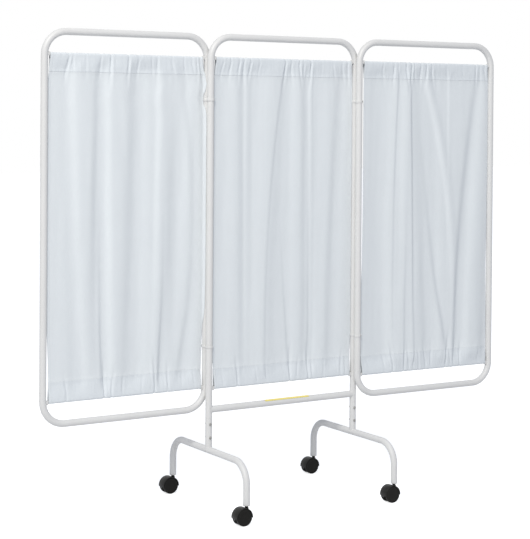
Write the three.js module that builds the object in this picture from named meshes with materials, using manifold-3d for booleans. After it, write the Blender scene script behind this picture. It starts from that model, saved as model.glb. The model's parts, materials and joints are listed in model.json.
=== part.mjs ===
// Three-panel folding ward screen on wheels, in millimetres, +Z up, +X to the screen's right.
// A fixed centre panel stands on two arched bases with casters. A wing is clipped to each of its
// posts: the left one behind it and the right one in front, so that they fold up in a Z.
// The origin lies on the floor, in the middle of the screen's bounding box.
import * as THREE from "three";
import { mergeVertices } from "three/addons/utils/BufferGeometryUtils.js";
import Module from "manifold-3d";

const wasm = await Module();
wasm.setup();

// Sizes of the frames. Heights build up from the bases: the uprights' tops, then the crossbar,
// then the window from the crossbar's axis to the top bar's.
const tubeDiameter = 25;
const tubeWall = 1.2;
const postSpacing = 642;
const wingSpacing = 640;
const windowHeight = 1357;
const crossbarRise = 30.9;
const frameBendRadius = 82;
const fitGap = 0.3;
const cutOverrun = 5;

// Sizes of the bases, their uprights and the bolts that hold the posts in them
const baseArchHeight = 212;
const legSpacing = 536;
const baseBendRadius = 77;
const uprightHeight = 116;
const connectorWall = 1.5;
const connectorRise = 40;
const connectorFootGap = 8.9;
const boltDrops = { upper: 22, lower: 71 };
const boltDiameter = 6;
const boltHeadDiameter = 11;
const boltHeadThickness = 3.6;
const nutWidth = 10;
const nutThickness = 5;
const boltTip = 1.5;

// Sizes of the marker strip on the crossbar
const stripLength = 195;
const stripOffset = 15;
const stripThickness = 0.6;
const stripWidth = 19;

// Sizes of the hinge clips, each a strap around a centre post and a wing post
const clipPitch = 28.2;
const clipRunningGap = 0.5;
const clipWall = 1.5;
const clipHeight = 10;
const clipNeck = 10;
const clipInset = 229;
const rivetDiameter = 2.6;
const rivetHeadDiameter = 5;
const rivetHeadThickness = 1.3;
const wingTurn = { left: -0.4, right: -1.6 };

// Sizes of the curtain rods and of the slotted brackets that hold their ends
const rodDiameter = 6;
const topRodDrop = 79;
const bottomRodRise = 79;
const rodEndGap = 1;
const bracketLength = 6.5;
const bracketWidth = 12;
const bracketHeel = 5;
const bracketHorn = 9;

// Sizes of the curtains
const curtainSideGap = 7.2;
const clothThickness = 2.6;
const pocketWall = 2;
const hemDepth = 65;
const foldDepth = 8.6;
const pocketRipple = 1;
const curtainColumns = 36;

// Sizes of the casters
const wheelDiameter = 60;
const wheelWidth = 13.5;
const wheelChamfer = 2;
const wheelGap = 0.5;
const axleDiameter = 5;
const webThickness = 12;
const webDrop = 9;
const hoodGap = 1;
const hoodWall = 1.5;
const hoodLipDegrees = 5;
const hoodBossDiameter = 16;
const hoodBossTop = 60;
const casterTrail = 17.5;
const casterYaw = 1;
const stemDiameter = 8;
const stemCollarDiameter = 12;
const stemDepth = 22;
const stemReach = 26;
const socketFlange = 2;
const socketLength = 34;
const socketTop = 67;

// Counts of flat sides and steps
const tubeSides = 12;
const pinSides = 8;
const bendSteps = 5;
const wheelSides = 16;
const hoodSteps = 8;
const nutSides = 6;

// What follows from the sizes above
const tubeRadius = tubeDiameter / 2;
const tubeBore = tubeRadius - tubeWall;
const connectorRadius = tubeBore - fitGap;
const uprightTop = baseArchHeight + uprightHeight;
const connectorFoot = baseArchHeight + tubeRadius + connectorFootGap;
const crossbarHeight = uprightTop + crossbarRise;
const topBarHeight = crossbarHeight + windowHeight;
const midHeight = (topBarHeight + crossbarHeight) / 2;
const postReach = postSpacing / 2;
const legReach = legSpacing / 2;
const legEnd = socketTop + socketFlange + fitGap;
const wheelRadius = wheelDiameter / 2;
const hoodBore = wheelRadius / Math.cos(Math.PI / wheelSides) + hoodGap;
const hoodRadius = hoodBore + hoodWall;
const wheelOffset = webThickness / 2 + wheelGap + wheelWidth / 2;
const hoodWidth = webThickness + 2 * (wheelGap + wheelWidth);
const topRodHeight = topBarHeight - topRodDrop;
const bottomRodHeight = crossbarHeight + bottomRodRise;
const boltHole = boltDiameter / 2 + fitGap;
const rodInset = rodEndGap + postInset(Math.min(topRodDrop, bottomRodRise) - rodDiameter / 2);
const rightAngle = Math.PI / 2;

// How far a bent post has come inwards at the given distance from its bar, bend steps included.
function postInset(distance) {
  const rise = Math.max(0, frameBendRadius - distance);
  const round = frameBendRadius - Math.sqrt(frameBendRadius ** 2 - rise ** 2);
  const stepAngle = Math.PI / 2 / bendSteps;
  return rise > 0 ? round + frameBendRadius * (1 - Math.cos(stepAngle / 2)) : 0;
}

// Finishes
const finish = (color, roughness, metalness) =>
  new THREE.MeshStandardMaterial({ color, roughness, metalness });
const frameWhite = () => finish(0xe4e2dc, 0.38, 0.1);
const socketGrey = () => finish(0xd6d4cf, 0.55, 0);
const curtainBlue = () => finish(0xd7dee8, 0.9, 0);
const stripYellow = () => finish(0xe9dc8c, 0.6, 0);
const boltDark = () => finish(0x6a6763, 0.45, 0.8);
const nutBright = () => finish(0xb4b2ae, 0.35, 0.9);
const casterBlack = () => finish(0x1f1f1d, 0.5, 0);
const axleSteel = () => finish(0x9a9a98, 0.35, 0.9);

// A closed mesh as a solid that can be joined and cut.
function solid(geometry) {
  const bare = geometry.clone();
  bare.deleteAttribute("normal");
  bare.deleteAttribute("uv");
  const merged = mergeVertices(bare);
  return new wasm.Manifold(
    new wasm.Mesh({
      numProp: 3,
      vertProperties: merged.attributes.position.array,
      triVerts: new Uint32Array(merged.index.array),
    }),
  );
}

// A solid back as a mesh.
function geometryOf(made) {
  const mesh = made.getMesh();
  const geometry = new THREE.BufferGeometry();
  const points = new THREE.BufferAttribute(mesh.vertProperties, mesh.numProp);
  geometry.setAttribute("position", points);
  geometry.setIndex(new THREE.BufferAttribute(mesh.triVerts, 1));
  return geometry;
}

function cut(geometry, ...tools) {
  return geometryOf(tools.reduce((left, tool) => left.subtract(solid(tool)), solid(geometry)));
}

function join(...geometries) {
  return geometryOf(geometries.map(solid).reduce((sum, next) => sum.add(next)));
}

function piece(name, geometry, material) {
  const mesh = new THREE.Mesh(geometry, material);
  mesh.name = name;
  return mesh;
}

// Centred round bars, whose flat sides lie at the radius, along each axis.
function barAlongY(radius, length, sides = tubeSides) {
  const corner = radius / Math.cos(Math.PI / sides);
  return new THREE.CylinderGeometry(corner, corner, length, sides, 1, false, Math.PI / sides);
}

function barAlongZ(radius, length, sides = tubeSides) {
  return barAlongY(radius, length, sides).rotateX(rightAngle);
}

function barAlongX(radius, length, sides = tubeSides) {
  return barAlongY(radius, length, sides).rotateZ(rightAngle);
}

// A centred round tube along Z.
function tubeAlongZ(radius, bore, length) {
  return cut(barAlongZ(radius, length), barAlongZ(bore, length + cutOverrun));
}

function block(x, y, z) {
  return new THREE.BoxGeometry(x, y, z);
}

// The section of the frame tube, a ring with flat sides.
function tubeSection() {
  const ring = (radius) =>
    Array.from({ length: tubeSides }, (_, side) => {
      const angle = ((side + 1 / 2) * 2 * Math.PI) / tubeSides;
      const corner = radius / Math.cos(Math.PI / tubeSides);
      return new THREE.Vector2(corner * Math.cos(angle), corner * Math.sin(angle));
    });
  const section = new THREE.Shape(ring(tubeRadius));
  section.holes.push(new THREE.Path(ring(tubeBore)));
  return section;
}

// A path given by its stations: the ends of each straight and the steps of each bend.
class StationPath extends THREE.Curve {
  constructor(stations) {
    super();
    this.stations = stations;
  }
  station(share) {
    return this.stations[Math.round(share * (this.stations.length - 1))];
  }
  getPointAt(share) {
    return this.station(share).point.clone();
  }
  getTangentAt(share) {
    return this.station(share).tangent.clone();
  }
}

// A tube bent to an arch in the XZ plane, from the foot at -X up, across and down to the other
// foot. The arch's feet lie at z = 0 and its crown's axis at the given height.
function archTube(spacing, height, bendRadius) {
  const stations = [];
  const add = (x, z, angle) =>
    stations.push({
      point: new THREE.Vector3(x, 0, z),
      tangent: new THREE.Vector3(Math.cos(angle), 0, Math.sin(angle)),
    });
  const reach = spacing / 2;
  const centreX = reach - bendRadius;
  const centreZ = height - bendRadius;
  add(-reach, 0, rightAngle);
  for (const side of [-1, 1])
    for (let step = 0; step <= bendSteps; step++) {
      const share = step / bendSteps;
      const turn = side < 0 ? Math.PI - share * rightAngle : (1 - share) * rightAngle;
      const x = side * centreX + bendRadius * Math.cos(turn);
      add(x, centreZ + bendRadius * Math.sin(turn), turn - rightAngle);
    }
  add(reach, 0, -rightAngle);
  const geometry = new THREE.ExtrudeGeometry(tubeSection(), {
    steps: stations.length - 1,
    extrudePath: new StationPath(stations),
    bevelEnabled: false,
  });
  return levelFeet(geometry);
}

// Brings the feet of an arch exactly onto z = 0, so that two arches meet face to face.
function levelFeet(geometry) {
  const place = geometry.attributes.position;
  for (let i = 0; i < place.count; i++)
    if (Math.abs(place.getZ(i)) < tubeWall / 2) place.setZ(i, 0);
  return geometry;
}

// The same mesh turned half round about X, with the points at z = 0 kept exactly there.
function upsideDown(geometry) {
  return geometry.clone().scale(1, -1, -1);
}

// The frame of the centre panel: an arch whose posts run down to the uprights, with the rod
// brackets welded to it.
function centreFrame() {
  const postEnd = uprightTop + fitGap;
  const arch = archTube(postSpacing, topBarHeight - postEnd, frameBendRadius);
  const frame = join(arch.translate(0, 0, postEnd), ...rodBrackets(postSpacing));
  return piece("centre_frame", frame, frameWhite());
}

// The crossbar, its ends cut to the round of the posts.
function lowerCrossbar() {
  const bar = cut(
    barAlongX(tubeRadius, postSpacing),
    barAlongX(tubeBore, postSpacing + cutOverrun),
    ...[-1, 1].map((side) =>
      barAlongZ(tubeRadius + fitGap, 2 * tubeDiameter).translate(side * postReach, 0, 0),
    ),
  );
  const crossbar = piece("lower_crossbar", bar, frameWhite());
  crossbar.position.z = crossbarHeight;
  return crossbar;
}

// The blank strip, bent over the crossbar's top.
function markerStrip() {
  const under = tubeRadius + fitGap;
  const outer = under + stripThickness;
  const film = solid(barAlongX(outer, stripLength))
    .subtract(solid(barAlongX(under, stripLength + cutOverrun)))
    .intersect(solid(block(stripLength, stripWidth, outer).translate(0, 0, outer / 2)));
  const strip = piece("marker_strip", geometryOf(film), stripYellow());
  strip.position.set(stripOffset, 0, crossbarHeight);
  return strip;
}

// One base: an arch from front to back, and the upright on its crown.
function base(side) {
  const group = new THREE.Group();
  group.position.x = side.sign * postReach;
  const arch = archTube(legSpacing, baseArchHeight - legEnd, baseBendRadius);
  const archPiece = piece(`base_arch_${side.name}`, arch.rotateZ(rightAngle), frameWhite());
  archPiece.position.z = legEnd;

  const boltHoles = Object.values(boltDrops).map((drop) =>
    barAlongY(boltHole, 2 * tubeDiameter, pinSides).translate(0, 0, uprightTop - drop),
  );
  const saddle = barAlongY(tubeRadius + fitGap, 2 * tubeDiameter).translate(0, 0, baseArchHeight);
  const upright = tubeAlongZ(tubeRadius, tubeBore, uprightHeight)
    .translate(0, 0, baseArchHeight + uprightHeight / 2);
  const uprightPiece = cut(upright, saddle, ...boltHoles);

  const connectorLength = uprightTop + connectorRise - connectorFoot;
  const connector = tubeAlongZ(connectorRadius, connectorRadius - connectorWall, connectorLength)
    .translate(0, 0, connectorFoot + connectorLength / 2);
  group.add(
    archPiece,
    piece(`base_upright_${side.name}`, uprightPiece, frameWhite()),
    piece(`post_connector_${side.name}`, cut(connector, ...boltHoles), nutBright()),
  );
  for (const [level, drop] of Object.entries(boltDrops))
    group.add(
      piece(`base_bolt_${side.name}_${level}`, bolt(uprightTop - drop), boltDark()),
      piece(`base_nut_${side.name}_${level}`, nut(uprightTop - drop), nutBright()),
    );
  return group;
}

// A bolt from front to back through an upright, its head in front.
function bolt(height) {
  const seat = tubeRadius + fitGap;
  const tip = seat + nutThickness + boltTip;
  const headRadius = boltHeadDiameter / 2;
  const rimShare = 0.35;
  const crownShare = 0.6;
  const root = seat + boltHeadThickness * rimShare;
  const shank = barAlongY(boltDiameter / 2, root + tip, pinSides)
    .translate(0, (tip - root) / 2, height);
  const profile = [
    new THREE.Vector2(0, 0),
    new THREE.Vector2(headRadius, 0),
    new THREE.Vector2(headRadius, boltHeadThickness * rimShare),
    new THREE.Vector2(headRadius * crownShare, boltHeadThickness),
    new THREE.Vector2(0, boltHeadThickness),
  ];
  const head = new THREE.LatheGeometry(profile, tubeSides).rotateX(Math.PI);
  return join(shank, head.translate(0, -seat, height));
}

function nut(height) {
  const nutBody = barAlongY(nutWidth / 2, nutThickness, nutSides);
  const thread = barAlongY(boltHole, nutThickness + cutOverrun, pinSides);
  return cut(nutBody, thread).translate(0, tubeRadius + fitGap + nutThickness / 2, height);
}

// One hinge: the clips that hold a wing post beside a centre post, and their rivets.
// The group's origin is the centre post's axis, and the wing post's axis lies towards -Y.
function hinge(side) {
  const group = new THREE.Group();
  const bore = tubeRadius + clipRunningGap;
  const outer = bore + clipWall;
  const ring = (radius, height) => barAlongZ(radius, height);
  const rivetTurn = Math.PI / 6;
  const away = new THREE.Vector3(Math.sin(rivetTurn), -Math.cos(rivetTurn), 0);
  const rivetPlace = (reach) =>
    away.clone().multiplyScalar(reach).add(new THREE.Vector3(0, -clipPitch, 0));
  const radial = (geometry, reach) =>
    geometry.rotateZ(rivetTurn).translate(...rivetPlace(reach).toArray());

  const strap = join(
    ring(outer, clipHeight),
    ring(outer, clipHeight).translate(0, -clipPitch, 0),
    block(clipNeck, clipPitch, clipHeight).translate(0, -clipPitch / 2, 0),
  );
  const rivetHole = radial(
    barAlongY(rivetDiameter / 2 + fitGap, 2 * clipWall + cutOverrun, pinSides),
    outer,
  );
  const clip = cut(
    strap,
    ring(bore, clipHeight + cutOverrun),
    ring(bore, clipHeight + cutOverrun).translate(0, -clipPitch, 0),
    rivetHole,
  );
  const headFoot = outer + fitGap;
  const shankLength = headFoot + rivetHeadThickness / 2 - bore;
  const rivet = join(
    radial(barAlongY(rivetDiameter / 2, shankLength, pinSides), bore + shankLength / 2),
    radial(
      barAlongY(rivetHeadDiameter / 2, rivetHeadThickness, pinSides),
      headFoot + rivetHeadThickness / 2,
    ),
  );
  const levels = { upper: topBarHeight - clipInset, lower: crossbarHeight + clipInset };
  for (const [level, height] of Object.entries(levels)) {
    const place = new THREE.Group();
    place.position.z = height;
    place.add(
      piece(`hinge_clip_${side.name}_${level}`, clip.clone(), frameWhite()),
      piece(`clip_rivet_${side.name}_${level}`, rivet.clone(), boltDark()),
    );
    group.add(place);
  }
  return group;
}

// The closed frame of a wing: an arch and the same arch upside down, met at mid height, with the
// rod brackets welded to it and a drain hole under its bottom bar. Its inner post stands at the
// origin, and it lies towards +X.
function wingFrame(side) {
  const half = archTube(wingSpacing, windowHeight / 2, frameBendRadius);
  const drain = barAlongZ(tubeWall, tubeRadius, pinSides)
    .translate(0, 0, -windowHeight / 2 - tubeRadius);
  const loop = cut(join(half, upsideDown(half)), drain).translate(0, 0, midHeight);
  const frame = join(loop, ...rodBrackets(wingSpacing));
  return piece(`wing_frame_${side.name}`, frame.translate(wingSpacing / 2, 0, 0), frameWhite());
}

// A panel's rods and curtain, for two posts at the given spacing, one to each side of the
// group's origin.
function dressing(name, spacing, folds) {
  const group = new THREE.Group();
  const rodLength = spacing - tubeDiameter - 2 * rodInset;
  for (const [level, height] of Object.entries({ top: topRodHeight, bottom: bottomRodHeight })) {
    const rod = barAlongX(rodDiameter / 2, rodLength, pinSides);
    const rodPiece = piece(`curtain_rod_${name}_${level}`, rod, frameWhite());
    rodPiece.position.z = height;
    group.add(rodPiece);
  }
  group.add(piece(`curtain_${name}`, curtain(spacing, folds), curtainBlue()));
  return group;
}

// The four brackets of a panel, at both ends of both rods.
function rodBrackets(spacing) {
  return [-1, 1].flatMap((end) => [
    rodBracket(spacing, end, 1, topRodHeight),
    rodBracket(spacing, end, -1, bottomRodHeight),
  ]);
}

// A slotted bracket on the inside of a post. Its slot opens up for a top rod and down for a
// bottom rod, so the pull of the curtain keeps each rod in.
function rodBracket(spacing, end, open, height) {
  const slotWidth = rodDiameter + 2 * fitGap;
  const body = bracketHeel + bracketHorn;
  const middle = (open * (bracketHorn - bracketHeel)) / 2;
  const face = spacing / 2 - tubeRadius - bracketLength;
  const depth = bracketLength + tubeRadius;
  const slotFoot = rodDiameter / 2 + fitGap;
  const slotHeight = slotFoot + bracketHorn + cutOverrun;
  const slotMiddle = (open * (slotHeight - 2 * slotFoot)) / 2;
  return cut(
    block(depth, bracketWidth, body).translate(end * (face + depth / 2), 0, middle),
    block(bracketLength + cutOverrun, slotWidth, slotHeight)
      .translate(end * (face + (bracketLength - cutOverrun) / 2), 0, slotMiddle),
    barAlongZ(tubeRadius - tubeWall / 2, body + 2 * tubeDiameter)
      .translate((end * spacing) / 2, 0, 0),
  ).translate(0, 0, height);
}

// A gathered curtain. Its cloth waves to and fro about the panel's plane, with a closed pocket
// round each rod. Each fold is a wave of the cloth, given as shares: its place along the width,
// its breadth, its lean from top to bottom and its depth.
function curtain(spacing, foldShares) {
  const width = spacing - tubeDiameter - 2 * curtainSideGap;
  const pocket = rodDiameter / 2 + fitGap + pocketWall;
  const low = bottomRodHeight - pocket;
  const high = topRodHeight + pocket;
  const bodyShares = [0.2, 0.4, 0.6, 0.8];
  const hemSteps = [0, pocket, 2 * pocket, hemDepth];
  const rows = [
    ...hemSteps.map((step) => low + step),
    ...bodyShares.map((share) => low + hemDepth + share * (high - low - 2 * hemDepth)),
    ...hemSteps.map((step) => high - step).reverse(),
  ];
  const swell = (z) => {
    const step = Math.min(z - low, high - z);
    const share = THREE.MathUtils.clamp(step / hemDepth, 0, 1);
    return share * share * (3 - 2 * share);
  };
  const wave = (u, v) =>
    foldShares.reduce((sum, [place, breadth, lean, depth]) => {
      const from = (u - place - lean * (v - 1 / 2)) / breadth;
      return sum + depth * Math.exp(-from * from) * Math.cos(Math.PI * from);
    }, 0);
  const half = (z) => {
    const step = Math.min(z - low, high - z);
    const share = THREE.MathUtils.clamp((step - 2 * pocket) / (hemDepth - 2 * pocket), 0, 1);
    return THREE.MathUtils.lerp(pocket, clothThickness / 2, share);
  };
  const front = [];
  const back = [];
  for (const z of rows)
    for (let column = 0; column < curtainColumns; column++) {
      const u = column / (curtainColumns - 1);
      const v = (z - low) / (high - low);
      const edge = Math.sin(Math.PI * u) ** (1 / 2);
      const depth = THREE.MathUtils.lerp(pocketRipple, foldDepth, swell(z));
      const middle = depth * edge * THREE.MathUtils.clamp(wave(u, v), -1, 1);
      const x = (u - 1 / 2) * width;
      front.push(x, middle - half(z), z);
      back.push(x, middle + half(z), z);
    }
  const geometry = closedSheet(front, back, curtainColumns, rows.length);
  const boreLength = width + cutOverrun;
  return cut(
    geometry,
    ...[bottomRodHeight, topRodHeight].map((height) =>
      barAlongX(rodDiameter / 2 + fitGap, boreLength, pinSides).translate(0, 0, height),
    ),
  );
}

// A closed body from a front and a back grid of points, row by row upwards.
function closedSheet(front, back, columns, rows) {
  const index = [];
  const count = columns * rows;
  const at = (row, column, layer) => layer * count + row * columns + column;
  const quad = (a, b, c, d) => index.push(a, b, c, a, c, d);
  for (let row = 0; row < rows - 1; row++)
    for (let column = 0; column < columns - 1; column++) {
      const corners = [
        [row, column],
        [row, column + 1],
        [row + 1, column + 1],
        [row + 1, column],
      ];
      quad(...corners.map(([r, c]) => at(r, c, 0)));
      quad(...corners.map(([r, c]) => at(r, c, 1)).reverse());
    }
  for (let column = 0; column < columns - 1; column++) {
    const next = column + 1;
    quad(at(0, column, 1), at(0, next, 1), at(0, next, 0), at(0, column, 0));
    const top = rows - 1;
    quad(at(top, column, 0), at(top, next, 0), at(top, next, 1), at(top, column, 1));
  }
  for (let row = 0; row < rows - 1; row++) {
    const next = row + 1;
    const last = columns - 1;
    quad(at(row, 0, 0), at(next, 0, 0), at(next, 0, 1), at(row, 0, 1));
    quad(at(row, last, 0), at(row, last, 1), at(next, last, 1), at(next, last, 0));
  }
  const geometry = new THREE.BufferGeometry();
  geometry.setAttribute("position", new THREE.Float32BufferAttribute([...front, ...back], 3));
  geometry.setIndex(index);
  return geometry;
}

// A wing: its frame and dressing, hung on the clips.
function wing(side) {
  const group = new THREE.Group();
  const panel = dressing(side.name, wingSpacing, side.foldShares);
  panel.position.x = wingSpacing / 2;
  group.add(wingFrame(side), panel);
  group.position.y = -clipPitch;
  group.rotation.z = THREE.MathUtils.degToRad(wingTurn[side.name]);
  return group;
}

// A caster under a leg, with its stem on the group's Z axis. What swivels on the stem is a group
// of its own, with the wheels trailing to its -X.
function caster(name) {
  const group = new THREE.Group();
  const swivel = new THREE.Group();
  swivel.add(
    piece(`caster_hood_${name}`, casterHood(), casterBlack()),
    piece(`caster_axle_${name}`, casterAxle(), axleSteel()),
  );
  for (const [place, turn] of Object.entries({ front: -1, rear: 1 })) {
    const wheel = piece(`caster_wheel_${name}_${place}`, casterWheel(), casterBlack());
    wheel.position.set(-casterTrail, turn * wheelOffset, wheelRadius);
    swivel.add(wheel);
  }
  swivel.rotation.z = THREE.MathUtils.degToRad(casterYaw);
  group.add(
    piece(`caster_socket_${name}`, casterSocket(), socketGrey()),
    piece(`caster_stem_${name}`, casterStem(), casterBlack()),
    swivel,
  );
  return group;
}

// The plastic plug in a leg's end, with a flange under the tube.
function casterSocket() {
  const plugRadius = connectorRadius;
  const flange = barAlongZ(tubeRadius, socketFlange).translate(0, 0, socketTop + socketFlange / 2);
  const plugFoot = socketTop + socketFlange / 2;
  const plug = barAlongZ(plugRadius, socketLength).translate(0, 0, plugFoot + socketLength / 2);
  const bore = barAlongZ(stemDiameter / 2 + fitGap, 2 * socketLength + cutOverrun);
  return cut(join(flange, plug), bore.translate(0, 0, plugFoot + socketLength / 2));
}

// The stem: a pin from the hood into the socket, with a collar between them.
function casterStem() {
  const foot = hoodBossTop - stemDepth;
  const length = socketTop + stemReach - foot;
  const pin = barAlongZ(stemDiameter / 2, length).translate(0, 0, foot + length / 2);
  const collarFoot = hoodBossTop + fitGap;
  const collarLength = socketTop - fitGap - collarFoot;
  const collar = barAlongZ(stemCollarDiameter / 2, collarLength);
  return join(pin, collar.translate(0, 0, collarFoot + collarLength / 2));
}

// The hood: a half round cover over both wheels, with a web between them that takes the stem
// and the axle.
function casterHood() {
  const lip = THREE.MathUtils.degToRad(hoodLipDegrees);
  const cover = new THREE.Shape();
  cover.absarc(0, 0, hoodRadius, -lip, Math.PI + lip, false);
  cover.absarc(0, 0, hoodBore, Math.PI + lip, -lip, true);
  const coverBody = new THREE.ExtrudeGeometry(cover, {
    depth: hoodWidth,
    curveSegments: hoodSteps,
    bevelEnabled: false,
  })
    .rotateX(rightAngle)
    .translate(-casterTrail, hoodWidth / 2, wheelRadius);
  const web = cut(
    barAlongY(hoodBore + hoodWall / 2, webThickness, 2 * hoodSteps),
    block(2 * hoodRadius + cutOverrun, webThickness + cutOverrun, 2 * hoodRadius)
      .translate(0, 0, -webDrop - hoodRadius),
  ).translate(-casterTrail, 0, wheelRadius);
  const bossHeight = hoodBossTop - wheelRadius - webDrop;
  const boss = barAlongZ(hoodBossDiameter / 2, bossHeight)
    .translate(0, 0, hoodBossTop - bossHeight / 2);
  const wheelRoom = (turn) =>
    barAlongY(wheelRadius + hoodGap, wheelWidth + 2 * wheelGap, wheelSides)
      .translate(-casterTrail, turn * wheelOffset, wheelRadius);
  const stemHole = barAlongZ(stemDiameter / 2 + fitGap, stemDepth + fitGap + cutOverrun);
  const stemHoleMiddle = hoodBossTop + (cutOverrun - stemDepth - fitGap) / 2;
  const axleHole = barAlongY(axleDiameter / 2 + fitGap, webThickness + cutOverrun, pinSides);
  const collarRoomHeight = socketTop - hoodBossTop;
  const collarRoom = barAlongZ(stemCollarDiameter / 2 + hoodGap, collarRoomHeight)
    .translate(0, 0, hoodBossTop + collarRoomHeight / 2);
  return cut(
    join(coverBody, web, boss),
    wheelRoom(-1),
    wheelRoom(1),
    stemHole.translate(0, 0, stemHoleMiddle),
    collarRoom,
    axleHole.translate(-casterTrail, 0, wheelRadius),
  );
}

function casterAxle() {
  const length = hoodWidth - 2 * wheelChamfer;
  return barAlongY(axleDiameter / 2, length, pinSides).translate(-casterTrail, 0, wheelRadius);
}

// A wheel about its own centre, with its bore and a flat side on the floor.
function casterWheel() {
  const toCorner = 1 / Math.cos(Math.PI / wheelSides);
  const bore = (axleDiameter / 2 + fitGap) * toCorner;
  const rim = wheelRadius * toCorner;
  const half = wheelWidth / 2;
  const profile = [
    new THREE.Vector2(bore, -half),
    new THREE.Vector2(rim - wheelChamfer, -half),
    new THREE.Vector2(rim, wheelChamfer - half),
    new THREE.Vector2(rim, half - wheelChamfer),
    new THREE.Vector2(rim - wheelChamfer, half),
    new THREE.Vector2(bore, half),
    new THREE.Vector2(bore, -half),
  ];
  return new THREE.LatheGeometry(profile, wheelSides, Math.PI / wheelSides);
}

// The folds of each curtain: place, breadth, lean and depth, as shares.
const leftFoldShares = [
  [0.08, 0.05, 0.02, 0.9],
  [0.2, 0.07, -0.05, -0.9],
  [0.34, 0.06, 0.04, 1],
  [0.47, 0.06, -0.03, -0.8],
  [0.6, 0.07, 0.05, 0.9],
  [0.74, 0.05, -0.04, -1],
  [0.86, 0.06, 0.03, 0.9],
  [0.96, 0.04, 0, -0.7],
];
const centreFoldShares = [
  [0.06, 0.05, 0.02, -0.8],
  [0.19, 0.06, 0.05, 0.9],
  [0.31, 0.07, -0.04, -0.9],
  [0.45, 0.06, 0.03, 1],
  [0.57, 0.05, 0.08, -1],
  [0.68, 0.06, 0.02, 0.9],
  [0.81, 0.06, -0.05, -0.9],
  [0.93, 0.05, 0.01, 0.8],
];
const rightFoldShares = [
  [0.07, 0.06, 0.03, 0.8],
  [0.21, 0.06, -0.03, -0.9],
  [0.35, 0.07, 0.06, 0.9],
  [0.5, 0.06, -0.02, -0.9],
  [0.64, 0.05, 0.04, 1],
  [0.76, 0.06, 0.03, -0.9],
  [0.88, 0.05, -0.03, 0.9],
  [0.96, 0.04, 0, -0.7],
];

const sides = [
  { name: "left", sign: -1, foldShares: leftFoldShares },
  { name: "right", sign: 1, foldShares: rightFoldShares },
];

// The centre panel on its two bases.
const screen = new THREE.Group();
const centrePanel = dressing("centre", postSpacing, centreFoldShares);
screen.add(centreFrame(), lowerCrossbar(), markerStrip(), centrePanel, ...sides.map(base));

// A hinge and a wing on each side. The left side is the right side turned half round.
for (const side of sides) {
  const turned = new THREE.Group();
  turned.rotation.z = side.sign < 0 ? Math.PI : 0;
  const post = new THREE.Group();
  post.position.x = postReach;
  post.add(hinge(side), wing(side));
  turned.add(post);
  screen.add(turned);
}

// A caster under each leg.
for (const side of sides)
  for (const [place, reach] of Object.entries({ front: -legReach, rear: legReach })) {
    const under = caster(`${place}_${side.name}`);
    under.position.set(side.sign * postReach, reach, 0);
    screen.add(under);
  }

// Brings the origin to the middle of the bounding box, on the floor.
screen.updateMatrixWorld(true);
const middle = new THREE.Box3().setFromObject(screen, true).getCenter(new THREE.Vector3());
screen.position.set(-middle.x, -middle.y, 0);

export default screen;
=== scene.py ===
import json
import math
from typing import NamedTuple

import bmesh
import bpy
import numpy as np
from bpy.props import FloatProperty, FloatVectorProperty, IntProperty, PointerProperty
from bpy.types import Operator, Panel, PropertyGroup
from mathutils import Matrix, Vector, noise


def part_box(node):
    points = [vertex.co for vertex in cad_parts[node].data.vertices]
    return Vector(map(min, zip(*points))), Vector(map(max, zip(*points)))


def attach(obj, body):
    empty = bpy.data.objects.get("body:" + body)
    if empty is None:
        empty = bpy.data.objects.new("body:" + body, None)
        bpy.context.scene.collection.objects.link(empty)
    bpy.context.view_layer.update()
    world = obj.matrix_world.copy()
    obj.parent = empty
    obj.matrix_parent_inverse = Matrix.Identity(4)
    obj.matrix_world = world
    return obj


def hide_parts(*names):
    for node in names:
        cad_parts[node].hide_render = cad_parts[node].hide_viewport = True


bl_info = {
    "name": "Ward Privacy Screen",
    "version": (1, 0, 0),
    "blender": (4, 5, 0),
    "location": "3D View > Sidebar > Screen",
    "description": "Builds a three-panel folding ward screen on wheels",
    "category": "Add Mesh",
}

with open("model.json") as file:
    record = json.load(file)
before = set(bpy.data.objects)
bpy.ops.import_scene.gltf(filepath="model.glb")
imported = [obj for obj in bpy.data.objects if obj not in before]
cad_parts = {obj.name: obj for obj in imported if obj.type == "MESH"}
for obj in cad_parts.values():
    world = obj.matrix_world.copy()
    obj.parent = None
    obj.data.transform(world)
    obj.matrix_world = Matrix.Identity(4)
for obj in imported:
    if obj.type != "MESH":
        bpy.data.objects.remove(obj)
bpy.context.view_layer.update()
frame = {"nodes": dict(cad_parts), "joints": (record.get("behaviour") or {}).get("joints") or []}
UP = Vector((0, 0, 1))
ACROSS = Vector((1, 0, 0))
BACK = Vector((0, 1, 0))


# Places in the frame


def middle_of(node):
    low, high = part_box(node)
    return (low + high) / 2


def joint_place(name):
    found = next(joint for joint in frame["joints"] if joint["name"] == name)
    return Vector(found["pos_m"])


def level(place):
    return Vector((place.x, place.y, 0))


def turned_to(across, place):
    """The matrix of a piece that stands upright at a place, with its X along the given line."""
    across = across.normalized()
    turn = Matrix((across, UP.cross(across), UP)).transposed()
    return Matrix.Translation(place) @ turn.to_4x4()


class PanelPlace(NamedTuple):
    """A panel, its body, the distance between its posts' axes and its place."""

    name: str
    body: str
    spacing: float
    matrix: Matrix


def panel_places():
    """The three panels from left to right, each with its middle on the floor."""
    left_post = level(joint_place("left_clips_round_post"))
    right_post = level(joint_place("right_clips_round_post"))
    left_middle = level(middle_of("curtain_rod_left_top"))
    right_middle = level(middle_of("curtain_rod_right_top"))
    left_half = level(joint_place("left_wing_fold")) - left_middle
    right_half = right_middle - level(joint_place("right_wing_fold"))
    panels = (
        ("left", "left_wing", left_middle, left_half),
        ("centre", "stand", (left_post + right_post) / 2, (right_post - left_post) / 2),
        ("right", "right_wing", right_middle, right_half),
    )
    return [
        PanelPlace(name, body, 2 * half.length, turned_to(half, middle))
        for name, body, middle, half in panels
    ]


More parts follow.
